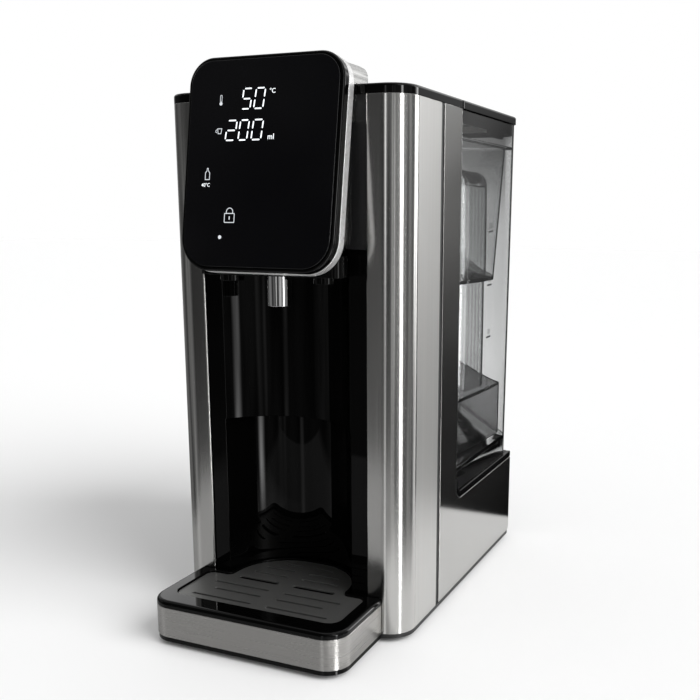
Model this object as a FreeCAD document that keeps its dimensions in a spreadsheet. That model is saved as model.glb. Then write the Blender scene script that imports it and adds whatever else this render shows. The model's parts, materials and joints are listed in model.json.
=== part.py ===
"""Countertop hot-water dispenser with a lift-off rear tank, modelled piece by piece.

Millimetres. +X is the user's right, +Y the rear, +Z up. The origin is on the worktop, in the
middle of the machine's footprint. Every size is one cell of the sheet "Sizes"; places that
follow from several sizes are formulas in PLACES.
"""
import FreeCAD, Part
import math
import os
import re

import Sketcher

SIZES = {
    # whole body
    "body_width": 158.0, "body_depth": 212.0, "body_height": 320.0,
    "corner_radius": 16.2, "foot_height": 3.0, "foot_radius": 7.0, "foot_inset": 19.0,
    "steel_gauge": 1.0, "frame_wall": 2.0, "skin_fit": 0.2, "part_fit": 0.3,
    "skirt_height": 2.5, "cap_height": 5.5, "cap_round": 1.8,
    # cup recess between the two front pillars
    "recess_width": 108.6, "wrap_depth": 51.6, "wrap_flange": 6.0, "core_return": 30.0,
    "seam_gap": 5.3, "seam_recess": 0.8, "liner_wall": 2.5, "strip_setback": 1.5,
    "arch_radius": 50.2, "arch_setback": 24.6, "niche_radius": 43.8, "niche_setback": 3.2,
    "niche_height": 125.0, "liner_height": 231.0, "liner_depth": 45.0,
    # tank bay at the rear
    "bay_setback": 87.0, "sill_height": 62.7, "sill_radius": 9.0, "sill_rise": 4.7,
    "sill_leg_width": 3.0, "sill_leg_height": 9.0, "shelf_drop": 3.0, "panel_corner": 4.0,
    "seat_thickness": 3.6, "seat_rim": 6.0,
    # water tank
    "tank_wall": 2.2, "tank_ledge": 0.9, "tank_floor": 2.5, "tank_floor_height": 81.0,
    "tank_draft": 4.5, "tank_corner": 12.0, "ledge_height": 297.0, "lid_skirt": 8.0,
    "lid_tab_width": 42.0, "lid_tab_drop": 12.0, "lid_tab_place": 165.0, "seal_band": 4.5,
    "insert_drop": 94.5, "insert_wall": 1.6, "insert_margin": 3.5, "insert_taper": 12.0,
    "filter_x": 42.0, "filter_y": 150.0, "filter_width": 46.0, "filter_depth": 52.0,
    "filter_height": 74.0, "filter_wall": 1.8, "filter_round": 10.0,
    "strainer_width": 56.0, "strainer_reach": 62.0, "strainer_rear": 33.0,
    "strainer_height": 40.0,
    "valve_x": 42.0, "valve_y": 165.0, "valve_radius": 12.0, "valve_bore": 7.0,
    "valve_drop": 12.0, "seal_thickness": 1.4, "receiver_radius": 18.0, "receiver_bore": 14.0,
    "seal_grip": 1.7, "stem_radius": 2.0, "plunger_radius": 3.0, "plunger_head": 9.0,
    "spring_radius": 6.0, "spring_wire": 0.8, "spring_turns": 6,
    # control head
    "face_width": 98.5, "face_height": 118.9, "face_reach": 31.6, "face_foot": 219.1,
    "head_tilt": 9.1, "face_round_low": 19.0, "face_round_high": 15.5, "glass_inset": 2.4,
    "glass_thickness": 2.0, "glass_proud": 0.6, "bezel_depth": 5.4, "bezel_round": 1.6,
    "bezel_rim": 6.0, "ring_depth": 5.8, "shell_inset": 1.0, "shell_wall": 1.2,
    "shell_back": 5.3, "shell_rear": 27.0, "shell_rise": 10.4, "shell_round": 14.0,
    "shell_low_round": 12.0, "shell_rear_round": 9.0, "neck_width": 60.0, "neck_reach": 9.0,
    "neck_low": 240.0, "neck_high": 308.0,
    "underside_height": 216.0, "underside_depth": 12.0, "well_radius": 7.0,
    "well_spacing": 62.0, "well_setback": 5.0, "well_drop": 4.0,
    # water path
    "nozzle_radius": 7.55, "nozzle_bore": 3.5, "nozzle_low": 198.0, "nozzle_setback": 2.5,
    "hose_radius": 5.0, "hose_bore": 3.5, "hose_bend": 12.0, "hose_high": 290.0,
    "heater_radius": 20.0, "heater_x": 45.0, "heater_y": 56.0, "heater_low": 150.0,
    "heater_length": 112.0, "port_length": 6.0, "pump_radius": 17.0, "pump_length": 45.0,
    "pump_x": 2.5, "pump_height": 26.0, "meter_radius": 10.0, "meter_low": 70.0,
    "meter_length": 25.0,
    # electronics
    "board_thickness": 1.6, "board_width": 57.0, "board_height": 140.0, "board_x": 43.5,
    "board_low": 130.0, "standoff_length": 7.4, "lead_radius": 4.0,
    # drip tray
    "tray_reach": 56.1, "tray_width": 128.6, "tray_corner": 14.1, "band_low": 2.8,
    "band_high": 21.5, "rim_high": 25.5, "rim_round": 2.6, "tongue_gap": 1.5,
    "tray_floor": 2.4, "grate_width": 110.8, "grate_reach": 43.0,
    "grate_corner": 8.0, "grate_drop": 1.5, "grate_thickness": 1.2, "grate_ledge": 4.0,
    "tongue_rim": 2.8, "slot_width": 2.0, "tray_foot_radius": 5.0,
    # fasteners
    "screw_radius": 1.5, "screw_head": 3.2, "screw_head_height": 1.6, "boss_radius": 5.0,
}

PLACES = {
    "half_width": "body_width / 2",
    "front_y": "-(body_depth - tray_reach) / 2",
    "rear_y": "front_y + body_depth",
    "base_z": "foot_height",
    "steel_z": "base_z + skirt_height",
    "top_z": "base_z + body_height",
    "cap_z": "top_z - cap_height",
    "recess_half": "recess_width / 2",
    "wrap_y": "front_y + wrap_depth",
    "panel_y": "wrap_y + seam_gap",
    "inner_half": "half_width - steel_gauge",
    "frame_half": "inner_half - skin_fit",
    "frame_inner": "frame_half - frame_wall",
    "bay_y": "front_y + bay_setback",
    "sill_z": "base_z + sill_height",
    "shelf_z": "sill_z - shelf_drop",
    "frame_rear": "rear_y - frame_wall - skin_fit",
    "liner_half": "recess_half - part_fit",
    "liner_y": "front_y + strip_setback",
    "niche_z": "base_z + niche_height",
    "liner_top": "base_z + liner_height",
    "tank_half": "inner_half - skin_fit",
    "tank_front": "bay_y + 2 * part_fit",
    "tank_low": "sill_z + skin_fit + sill_rise + part_fit",
    "tank_top": "cap_z - part_fit",
    "floor_z": "base_z + tank_floor_height",
    "floor_top": "floor_z + tank_floor",
    "ledge_z": "base_z + ledge_height",
    "cavity_half": "tank_half - tank_wall - tank_ledge",
    "cavity_front": "tank_front + tank_wall + tank_ledge",
    "cavity_rear": "rear_y - tank_wall - tank_ledge",
    "insert_half": "cavity_half - insert_margin",
    "insert_front": "cavity_front + insert_margin",
    "insert_rear": "cavity_rear - insert_margin",
    "insert_low": "ledge_z - insert_drop",
    "column_y": "front_y + filter_y",
    "outlet_y": "front_y + valve_y",
    "strainer_top": "floor_top + strainer_height",
    "receiver_top": "floor_z - part_fit * 10",
    "spigot_low": "floor_z - valve_drop",
    "plunger_low": "shelf_z + seat_thickness + 10",
    "plunger_high": "floor_top + part_fit + seal_thickness",
    "face_half": "face_width / 2",
    "face_y": "front_y - face_reach",
    "face_z": "base_z + face_foot",
    "bezel_back": "glass_proud + bezel_depth",
    "ring_back": "bezel_back + ring_depth",
    "shell_half": "face_half - shell_inset",
    "shell_crown": "face_z + face_height * cos(head_tilt) - ring_back * sin(head_tilt)"
                   " - shell_inset",
    "shell_step_z": "base_z + neck_high - 8",
    "under_z": "base_z + underside_height",
    "nozzle_y": "front_y - nozzle_setback",
    "neck_front": "front_y - neck_reach",
    "nozzle_top": "under_z + underside_depth + 2",
    "hose_z": "base_z + hose_high",
    "heater_z": "base_z + heater_low",
    "heater_top": "heater_z + heater_length",
    "heater_back": "front_y + heater_y",
    "pump_z": "base_z + pump_height",
    "meter_z": "base_z + meter_low",
    "board_z": "base_z + board_low",
    "board_y": "bay_y - frame_wall - standoff_length - board_thickness",
    "tray_half": "tray_width / 2",
    "tray_front": "front_y - tray_reach",
    "tray_back": "front_y - 0.8",
    "rim_z": "base_z + rim_high",
    "tongue_half": "niche_radius - tongue_gap",
    "tongue_rear": "front_y - niche_setback + tongue_half",
    "tongue_z": "steel_z + part_fit",
    "grate_z": "rim_z - grate_drop - grate_thickness",
    "grate_half": "grate_width / 2",
    "grate_front": "front_y - grate_reach",
    "grate_back": "front_y - 3.6",
    "grate_tongue": "tongue_half - tongue_rim",
    "grate_rear": "tongue_rear - tongue_rim",
    "grate_shoulder": "min(5; (grate_half - grate_tongue) * 0.55)",
    "grate_notch": "min(4; (grate_half - grate_tongue) * 0.44)",
}

doc = FreeCAD.newDocument("WaterDispenser")
sheet = doc.addObject("Spreadsheet::Sheet", "Sizes")
pieces = {}


def fill_sheet():
    """Write each size into the sheet, with its name as the cell's alias."""
    for row, (alias, value) in enumerate(SIZES.items(), start=1):
        sheet.set(f"A{row}", alias.replace("_", " "))
        sheet.set(f"B{row}", str(value))
        sheet.setAlias(f"B{row}", alias)
    doc.recompute()


def expand(formula):
    """Turn a formula of plain names into an expression on the sheet."""
    def swap(match):
        word = match.group(0)
        if word in SIZES:
            return "Sizes." + word
        if word in PLACES:
            return "(" + expand(PLACES[word]) + ")"
        return word
    return re.sub(r"[a-z][a-z_0-9]*", swap, str(formula))


def number(formula):
    """The value that a formula has now."""
    return float(sheet.evalExpression(expand(formula)))


def bind(item, prop, formula):
    """Bind one property of an object to a formula."""
    item.setExpression(prop, expand(formula))


def keep(label, item):
    """Register an object as a piece of the machine under its own label."""
    item.Label = label
    pieces[label] = item
    return item


# ---------------------------------------------------------------- outlines

def rectangle(u_low, u_high, v_low, v_high, *radii):
    """Four corners, anticlockwise from low-low; radii are none, one for all, or four."""
    corners = [(u_low, v_low), (u_high, v_low), (u_high, v_high), (u_low, v_high)]
    if not radii:
        return corners
    rounds = radii * 4 if len(radii) == 1 else radii
    return [corner if radius == "0" else corner + (radius,)
            for corner, radius in zip(corners, rounds)]


def mirrored(points):
    """The same outline on the other side of the machine's middle plane."""
    return [(f"-({point[0]})",) + tuple(point[1:]) for point in reversed(points)]


def sided(side, points):
    """An outline in plan for the right (+1) or the left (-1) side."""
    return points if side > 0 else mirrored(points)


def circle(u, v, radius):
    """A full circle as an outline."""
    return {"centre": (u, v), "radius": radius}


def slot(u_low, u_high, v, width):
    """A straight slot along u with round ends."""
    half = f"({width}) / 2"
    end = f"({width}) * 0.49"
    return rectangle(u_low, u_high, f"{v} - {half}", f"{v} + {half}", end)


def draw_circle(sketch, loop):
    """Draw a circle and bind its centre and radius."""
    u, v = loop["centre"]
    centre = FreeCAD.Vector(number(u), number(v), 0)
    radius = number(loop["radius"])
    index = sketch.addGeometry(Part.Circle(centre, FreeCAD.Vector(0, 0, 1), radius))
    first = sketch.ConstraintCount
    sketch.addConstraint([
        Sketcher.Constraint("DistanceX", -1, 1, index, 3, centre.x),
        Sketcher.Constraint("DistanceY", -1, 1, index, 3, centre.y),
        Sketcher.Constraint("Radius", index, radius),
    ])
    for step, formula in enumerate((u, v, loop["radius"])):
        bind(sketch, f"Constraints[{first + step}]", formula)


def corner_arc(before, corner, after, radius):
    """The arc that rounds a corner: its circle, its two ends, and whether it turns left."""
    inward = (corner - before).normalize()
    outward = (after - corner).normalize()
    turn = inward.x * outward.y - inward.y * outward.x
    angle = math.acos(max(-1.0, min(1.0, inward.dot(outward))))
    reach = radius * math.tan(angle / 2)
    start = corner - inward * reach
    end = corner + outward * reach
    sign = 1 if turn > 0 else -1
    centre = start + FreeCAD.Vector(-inward.y, inward.x, 0) * radius * sign
    return centre, start, end, turn > 0


def draw_polygon(sketch, points):
    """Draw a closed outline of (u, v) or (u, v, radius) corners and bind every corner."""
    count = len(points)
    corners = [FreeCAD.Vector(number(point[0]), number(point[1]), 0) for point in points]
    leave, arrive, arcs = list(corners), list(corners), {}
    for i, point in enumerate(points):
        if len(point) == 3:
            arcs[i] = corner_arc(corners[i - 1], corners[i], corners[(i + 1) % count],
                                 number(point[2]))
            arrive[i], leave[i] = arcs[i][1], arcs[i][2]
    base = sketch.GeometryCount
    for i in range(count):
        sketch.addGeometry(Part.LineSegment(leave[i], arrive[(i + 1) % count]))
    rules, formulas = [], []
    for i, point in enumerate(points):
        line_in, line_out = base + (i - 1) % count, base + i
        target, spot = line_out, 1
        if i in arcs:
            centre, start, end, left = arcs[i]
            round_circle = Part.Circle(centre, FreeCAD.Vector(0, 0, 1), number(point[2]))
            first, last = (start, end) if left else (end, start)
            angles = [math.atan2(spot_at.y - centre.y, spot_at.x - centre.x)
                      for spot_at in (first, last)]
            arc = sketch.addGeometry(Part.ArcOfCircle(round_circle, *angles))
            target = sketch.addGeometry(Part.Point(corners[i]), True)
            near, far = (1, 2) if left else (2, 1)
            rules += [Sketcher.Constraint("Tangent", line_in, 2, arc, near),
                      Sketcher.Constraint("Tangent", arc, far, line_out, 1),
                      Sketcher.Constraint("PointOnObject", target, 1, line_in),
                      Sketcher.Constraint("PointOnObject", target, 1, line_out),
                      Sketcher.Constraint("Radius", arc, number(point[2]))]
            formulas += [None] * 4 + [point[2]]
        else:
            rules.append(Sketcher.Constraint("Coincident", line_in, 2, line_out, 1))
            formulas.append(None)
        rules += [Sketcher.Constraint("DistanceX", -1, 1, target, spot, corners[i].x),
                  Sketcher.Constraint("DistanceY", -1, 1, target, spot, corners[i].y)]
        formulas += [point[0], point[1]]
    offset = sketch.ConstraintCount
    sketch.addConstraint(rules)
    for step, formula in enumerate(formulas):
        if formula is not None:
            bind(sketch, f"Constraints[{offset + step}]", formula)


# ---------------------------------------------------------------- pieces

class Piece:
    """A PartDesign body made from padded, pocketed and lofted outlines."""

    def __init__(self, label, kept=True):
        self.body = doc.addObject("PartDesign::Body", label)
        if kept:
            keep(label, self.body)

    def sketch(self, plane, height, loops):
        """A sketch parallel to one of the body's own origin planes."""
        sketch = self.body.newObject("Sketcher::SketchObject", "Outline")
        role = plane + "_Plane"
        support = [item for item in self.body.Origin.OriginFeatures if item.Role == role][0]
        sketch.AttachmentSupport = [(support, "")]
        sketch.MapMode = "FlatFace"
        sign = "-" if plane == "XZ" else ""
        bind(sketch, "AttachmentOffset.Base.z", f"{sign}({height})")
        for loop in loops:
            if isinstance(loop, dict):
                draw_circle(sketch, loop)
            else:
                draw_polygon(sketch, loop)
        return sketch

    def pad(self, plane, low, high, *loops):
        """Fill the outlines from low to high along the plane's world axis."""
        sketch = self.sketch(plane, high if plane == "XZ" else low, loops)
        pad = self.body.newObject("PartDesign::Pad", "Pad")
        pad.Profile = sketch
        bind(pad, "Length", f"({high}) - ({low})")
        return self

    def pocket(self, plane, low, high, *loops):
        """Cut the outlines from low to high, and make sure that something was cut."""
        doc.recompute()
        before = self.body.Shape.Volume
        sketch = self.sketch(plane, low if plane == "XZ" else high, loops)
        pocket = self.body.newObject("PartDesign::Pocket", "Pocket")
        pocket.Profile = sketch
        bind(pocket, "Length", f"({high}) - ({low})")
        doc.recompute()
        if self.body.Shape.Volume > before - 1e-6:
            raise ValueError(f"{self.body.Label}: a pocket cut nothing")
        return self

    def loft(self, kind, *sections):
        """Add or subtract a loft through (height, outline) sections in plan."""
        doc.recompute()
        sketches = [self.sketch("XY", height, [loop]) for height, loop in sections]
        loft = self.body.newObject(f"PartDesign::{kind}Loft", kind + "Loft")
        loft.Profile = sketches[0]
        loft.Sections = sketches[1:]
        loft.Ruled = True
        return self

    def round(self, radius, wanted, kind="Fillet"):
        """Fillet or chamfer the edges that a test picks."""
        doc.recompute()
        tip = self.body.Tip
        names = [f"Edge{i}" for i, edge in enumerate(tip.Shape.Edges, start=1) if wanted(edge)]
        if not names:
            raise ValueError(f"{self.body.Label}: no edge to round")
        feature = self.body.newObject("PartDesign::" + kind, kind)
        feature.Base = (tip, names)
        bind(feature, "Radius" if kind == "Fillet" else "Size", radius)
        return self


def at_level(axis, formula):
    """A test for edges that lie wholly at one coordinate."""
    level = number(formula)
    return lambda edge: all(abs(getattr(vertex.Point, axis) - level) < 1e-4
                            for vertex in edge.Vertexes)


def both(*tests):
    """A test that needs every one of the given tests."""
    return lambda edge: all(test(edge) for test in tests)


def beyond(axis, formula, above=True):
    """A test for edges that lie wholly past one coordinate."""
    level = number(formula)
    sign = 1 if above else -1
    return lambda edge: all((getattr(vertex.Point, axis) - level) * sign > -1e-4
                            for vertex in edge.Vertexes)


def block(label, x, y, z, kept=True):
    """A Part box between two formulas on each axis."""
    solid = doc.addObject("Part::Box", label)
    for side, axis, (low, high) in zip(("Length", "Width", "Height"), "xyz", (x, y, z)):
        bind(solid, side, f"({high}) - ({low})")
        bind(solid, f"Placement.Base.{axis}", low)
    return keep(label, solid) if kept else solid


TURNS = {"x": FreeCAD.Rotation(FreeCAD.Vector(0, 1, 0), 90),
         "y": FreeCAD.Rotation(FreeCAD.Vector(1, 0, 0), -90),
         "z": FreeCAD.Rotation()}


def rod(label, radius, start, length, axis="z", kept=True):
    """A Part cylinder from a start point along an axis."""
    solid = doc.addObject("Part::Cylinder", label)
    solid.Placement = FreeCAD.Placement(FreeCAD.Vector(), TURNS[axis])
    bind(solid, "Radius", radius)
    bind(solid, "Height", length)
    for name, formula in zip("xyz", start):
        bind(solid, f"Placement.Base.{name}", formula)
    return keep(label, solid) if kept else solid


def fuse(label, parts, kept=True):
    """One solid from several."""
    joined = doc.addObject("Part::MultiFuse", label)
    joined.Shapes = parts
    return keep(label, joined) if kept else joined


def common(label, parts, kept=True):
    """What several solids share."""
    shared = doc.addObject("Part::MultiCommon", label)
    shared.Shapes = parts
    return keep(label, shared) if kept else shared


def cut(label, base, tool, kept=True):
    """A solid less another."""
    rest = doc.addObject("Part::Cut", label)
    rest.Base = base
    rest.Tool = tool
    return keep(label, rest) if kept else rest


def group(label, parts):
    """Separate solids that share one node."""
    together = doc.addObject("Part::Compound", label)
    together.Links = parts
    return keep(label, together)


def screw(name, head, axis, length):
    """A pan-head screw: its head starts at the given point and its shank goes on along axis."""
    along = {"x": 0, "y": 1, "z": 2}[axis]
    shank = list(head)
    shank[along] = f"{head[along]} + screw_head_height"
    return fuse(name, [rod(name + "_head", "screw_head", head, "screw_head_height", axis, False),
                       rod(name + "_shank", "screw_radius - 0.05", shank, length, axis, False)],
                kept=False)


# ---------------------------------------------------------------- base and body

def base_places():
    """The four places under the body where a foot stands."""
    return [(f"{side} * (half_width - foot_inset)", y)
            for side in (1, -1)
            for y in ("front_y + foot_inset", "rear_y - foot_inset")]


def screw_places():
    """The four places where the base pan is screwed up into the chassis posts."""
    return [(f"{side} * (frame_inner - boss_radius + 0.5)", y)
            for side in (1, -1)
            for y in ("panel_y + 12", "rear_y - foot_inset - 15")]


def build_base():
    """Base pan, its four feet and the screws that hold it to the chassis."""
    pan = Piece("base_pan")
    pan.pad("XY", "base_z", "steel_z",
            rectangle("-half_width", "half_width", "front_y", "rear_y",
                      "corner_radius", "corner_radius", "panel_corner", "panel_corner"))
    for x, y in screw_places():
        pan.pocket("XY", "base_z", "steel_z", circle(x, y, "screw_radius"))
        pan.pocket("XY", "base_z", "base_z + screw_head_height", circle(x, y, "screw_head + 0.4"))
    for step in range(6):
        y = f"bay_y + 40 + {step} * 9"
        pan.pocket("XY", "base_z", "steel_z", slot("-30", "30", y, "3"))
    group("feet", [rod(f"foot_{i}", "foot_radius", (x, y, "0"), "foot_height", kept=False)
                   for i, (x, y) in enumerate(base_places())])
    group("base_screws", [screw(f"base_screw_{i}", (x, y, "base_z"), "z", "12")
                          for i, (x, y) in enumerate(screw_places())])


def build_pillar(side, name):
    """One front pillar: a steel wrap bent round a moulded core, and the seam behind it."""
    wrap = Piece(name + "_front_wrap")
    wrap.pad("XY", "steel_z", "cap_z", sided(side, [
        ("recess_half", "front_y", "steel_gauge * 1.1"),
        ("half_width", "front_y", "corner_radius"),
        ("half_width", "wrap_y"),
        ("inner_half", "wrap_y"),
        ("inner_half", "front_y + steel_gauge", "corner_radius - steel_gauge"),
        ("recess_half + steel_gauge", "front_y + steel_gauge"),
        ("recess_half + steel_gauge", "front_y + wrap_flange"),
        ("recess_half", "front_y + wrap_flange")]))
    inner = "recess_half + steel_gauge + skin_fit"
    front = "front_y + steel_gauge + skin_fit"
    core_round = "corner_radius - steel_gauge - skin_fit"
    core = Piece(name + "_pillar_core")
    core.pad("XY", "steel_z", "cap_z", sided(side, [
        (inner, front),
        ("frame_half", front, core_round),
        ("frame_half", "wrap_y"),
        ("frame_inner", "wrap_y"),
        ("frame_inner", f"{front} + frame_wall", f"{core_round} - frame_wall"),
        (f"{inner} + frame_wall", f"{front} + frame_wall"),
        (f"{inner} + frame_wall", "front_y + core_return"),
        (inner, "front_y + core_return")]))
    seam = Piece(name + "_seam_trim")
    seam.pad("XY", "steel_z", "cap_z",
             sided(side, rectangle("frame_inner", "half_width - seam_recess",
                                   "wrap_y + skin_fit", "panel_y - skin_fit")))


def across(side, near, far):
    """Low and high x of a span on one side of the machine."""
    return (near, far) if side > 0 else (f"-({far})", f"-({near})")


def build_side(side, name):
    """One steel side panel with its stepped window edge, and the glossy sill bar on it."""
    panel = Piece(name + "_side_panel")
    panel.pad("YZ", *across(side, "inner_half", "half_width"), [
        ("panel_y", "steel_z"),
        ("rear_y", "steel_z", "panel_corner"),
        ("rear_y", "sill_z", "1.5"),
        ("bay_y", "sill_z", "sill_radius"),
        ("bay_y", "cap_z"),
        ("panel_y", "cap_z")])
    bar = Piece(name + "_sill_trim")
    low = "sill_z + skin_fit"
    high = "sill_z + skin_fit + sill_rise"
    start = "bay_y + skin_fit"
    bar.pad("YZ", *across(side, "frame_inner + skin_fit", "half_width"), [
        ("bay_y + sill_radius", low),
        ("rear_y", low, "1.2"),
        ("rear_y", high, "1.2"),
        ("bay_y + sill_radius", high)])
    bar.pad("YZ", *across(side, "inner_half + skin_fit", "half_width"), [
        (start, low, "sill_radius - skin_fit"),
        ("bay_y + sill_radius + 2", low),
        ("bay_y + sill_radius + 2", high),
        (f"{start} + sill_leg_width", high, "sill_radius - skin_fit - sill_leg_width"),
        (f"{start} + sill_leg_width", f"{high} + sill_leg_height", "1.2"),
        (start, f"{high} + sill_leg_height", "1.2")])


def build_chassis():
    """Inner frame: the bulkhead, the shelf that carries the tank, and two side walls."""
    frame = Piece("chassis")
    frame.pad("YZ", "-frame_half", "frame_half", [
        ("bay_y - frame_wall", "steel_z"),
        ("bay_y", "steel_z"),
        ("bay_y", "shelf_z - frame_wall"),
        ("frame_rear", "shelf_z - frame_wall"),
        ("frame_rear", "shelf_z"),
        ("bay_y", "shelf_z"),
        ("bay_y", "cap_z"),
        ("bay_y - frame_wall", "cap_z")])
    wall = [
        ("panel_y", "steel_z"),
        ("frame_rear", "steel_z"),
        ("frame_rear", "sill_z"),
        ("bay_y", "sill_z"),
        ("bay_y", "cap_z"),
        ("panel_y", "cap_z")]
    for side in (1, -1):
        frame.pad("YZ", *across(side, "frame_inner", "frame_half"), wall)
        frame.pad("XZ", "frame_rear - 14", "frame_rear",
                  rectangle(*across(side, "frame_inner - 14", "frame_inner"),
                            "shelf_z - frame_wall - 10", "shelf_z - frame_wall"))
    for x, y in screw_places():
        frame.pad("XY", "steel_z", "steel_z + 15", circle(x, y, "boss_radius"))
        frame.pocket("XY", "steel_z", "steel_z + 13", circle(x, y, "screw_radius"))
    frame.pocket("XY", "shelf_z - frame_wall", "shelf_z",
                 circle("valve_x", "outlet_y", "hose_radius + 3"))
    frame.pocket("XZ", "bay_y - frame_wall", "bay_y",
                 circle("-heater_x", "pump_z", "hose_radius + 3"))
    for x in panel_screws():
        frame.pocket("XZ", "frame_rear - 12", "frame_rear",
                     circle(x, "shelf_z - frame_wall - 5", "screw_radius"))


def panel_screws():
    """The two places across the back where the rear panel is screwed on."""
    return [f"{side} * (frame_inner - 7)" for side in (1, -1)]


def build_rear():
    """Rear panel below the tank, its screws, the cord gland and ventilation slots."""
    panel = Piece("rear_panel")
    panel.pad("XZ", "rear_y - frame_wall", "rear_y",
              rectangle("-frame_half", "frame_half", "steel_z", "sill_z - part_fit"))
    height = "shelf_z - frame_wall - 5"
    for x in panel_screws():
        panel.pocket("XZ", "rear_y - frame_wall", "rear_y", circle(x, height, "screw_radius + 0.1"))
        panel.pocket("XZ", "rear_y - screw_head_height", "rear_y",
                     circle(x, height, "screw_head + 0.2"))
    gland = ("55", "base_z + 16")
    panel.pocket("XZ", "rear_y - frame_wall", "rear_y", circle(*gland, "lead_radius + 3"))
    for step in range(5):
        z = f"base_z + 16 + {step} * 6"
        panel.pocket("XZ", "rear_y - frame_wall", "rear_y", slot("-28", "28", z, "2.4"))
    bush = Piece("cord_gland")
    bush.pad("XZ", "rear_y - frame_wall - 12", "rear_y - 0.2",
             circle(*gland, "lead_radius + 2.9"), circle(*gland, "lead_radius"))
    bush.pad("XZ", "rear_y - frame_wall - 3.1", "rear_y - frame_wall - 0.1",
             circle(*gland, "lead_radius + 6"), circle(*gland, "lead_radius"))
    heads = []
    for i, x in enumerate(panel_screws()):
        head = rod(f"rear_head_{i}", "screw_head", (x, "rear_y - screw_head_height", height),
                   "screw_head_height", "y", kept=False)
        shank = rod(f"rear_shank_{i}", "screw_radius - 0.05", (x, "frame_rear - 9", height),
                    "rear_y - screw_head_height - frame_rear + 9", "y", kept=False)
        heads.append(fuse(f"rear_screw_{i}", [head, shank], kept=False))
    group("rear_screws", heads)


def build_liner():
    """Glossy recess liner: a shallow arch above and a deeper round niche for the cup."""
    arch = ("0", "front_y - arch_setback")
    niche = ("0", "front_y - niche_setback")
    zones = {"upper": (arch, "arch_radius", "niche_z", "liner_top"),
             "lower": (niche, "niche_radius", "steel_z", "niche_z + liner_wall")}
    shells = []
    for zone, (centre, radius, low, high) in zones.items():
        tall = f"({high}) - ({low})"
        strip = block(zone + "_strip", ("-liner_half", "liner_half"),
                      ("liner_y", "liner_y + liner_wall"), (low, high), kept=False)
        drum = rod(zone + "_drum", f"{radius} + liner_wall", (*centre, low), tall, kept=False)
        both_parts = fuse(zone + "_skin", [strip, drum], kept=False)
        room = block(zone + "_room", ("-liner_half", "liner_half"),
                     ("liner_y", "front_y + liner_depth"), (low, high), kept=False)
        shells.append(common(zone + "_half", [both_parts, room], kept=False))
    cup_space = rod("cup_space", "niche_radius", (*niche, "steel_z"),
                    "niche_z - steel_z", kept=False)
    arch_space = rod("arch_space", "arch_radius", (*arch, "steel_z"),
                     "liner_top - steel_z", kept=False)
    hose_hole = rod("hose_hole", "hose_radius + 2", ("0", "front_y", "hose_z"),
                    "liner_depth", "y", kept=False)
    whole = fuse("liner_whole", shells, kept=False)
    space = fuse("liner_space", [cup_space, arch_space, hose_hole], kept=False)
    cut("recess_liner", whole, space)


def build_top_cover():
    """Glossy cover over the front half, notched round the head."""
    cover = Piece("top_cover")
    notch = "shell_half + part_fit"
    cover.pad("XY", "cap_z", "top_z", [
        (notch, "front_y"),
        ("half_width", "front_y", "corner_radius"),
        ("half_width", "bay_y"),
        ("-half_width", "bay_y"),
        ("-half_width", "front_y", "corner_radius"),
        (f"-({notch})", "front_y"),
        (f"-({notch})", "front_y + shell_rear + part_fit", "shell_round"),
        (notch, "front_y + shell_rear + part_fit", "shell_round")])
    inside = number("shell_half + 1")

    def outer(edge):
        """Edges of the cover's outside, not of its notch or its rear."""
        middle = edge.valueAt((edge.FirstParameter + edge.LastParameter) / 2)
        return abs(middle.x) > inside and middle.y < number("bay_y") - 1e-3
    cover.round("cap_round", both(at_level("z", "top_z"), outer))


# ---------------------------------------------------------------- tank

def tank_plan(half, front, rear, corner):
    """A plan outline with square-ish front corners and rounder rear ones."""
    return rectangle(f"-({half})", half, front, rear, f"({corner}) / 4", f"({corner}) / 4",
                     corner, corner)


def build_seat():
    """Seat that the tank stands on, with the outlet receiver, its seal and the stem."""
    seat = Piece("tank_seat")
    top = "shelf_z + seat_thickness"
    centre = ("valve_x", "outlet_y")
    seat.pad("XY", "shelf_z", top,
             rectangle("-frame_inner + part_fit", "frame_inner - part_fit",
                       "bay_y + part_fit", "rear_y - frame_wall - part_fit"))
    seat.pad("XY", "sill_z", "sill_z + skin_fit + sill_rise",
             rectangle("-frame_inner + part_fit", "frame_inner - part_fit",
                       "rear_y - frame_wall - seat_rim", "rear_y"))
    seat.pad("XY", top, "receiver_top", circle(*centre, "receiver_radius"))
    seat.pocket("XY", top, "receiver_top", circle(*centre, "receiver_bore"))
    seat.pad("XY", "shelf_z - 15", "shelf_z", circle(*centre, "hose_radius"))
    seat.pocket("XY", "shelf_z - 15", top, circle(*centre, "hose_bore"))
    stem = Piece("valve_stem")
    stem.pad("XY", top, "plunger_low - part_fit", circle(*centre, "stem_radius"))
    stem.pad("XY", top, f"{top} + 1.2", rectangle("valve_x - 8", "valve_x + 8",
                                                 "outlet_y - 1.5", "outlet_y + 1.5"))
    seal = Piece("seat_seal")
    seal.pad("XY", "spigot_low + 3", "spigot_low + 6",
             circle(*centre, "receiver_bore - 0.05"),
             circle(*centre, "receiver_bore - seal_grip"))


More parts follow.
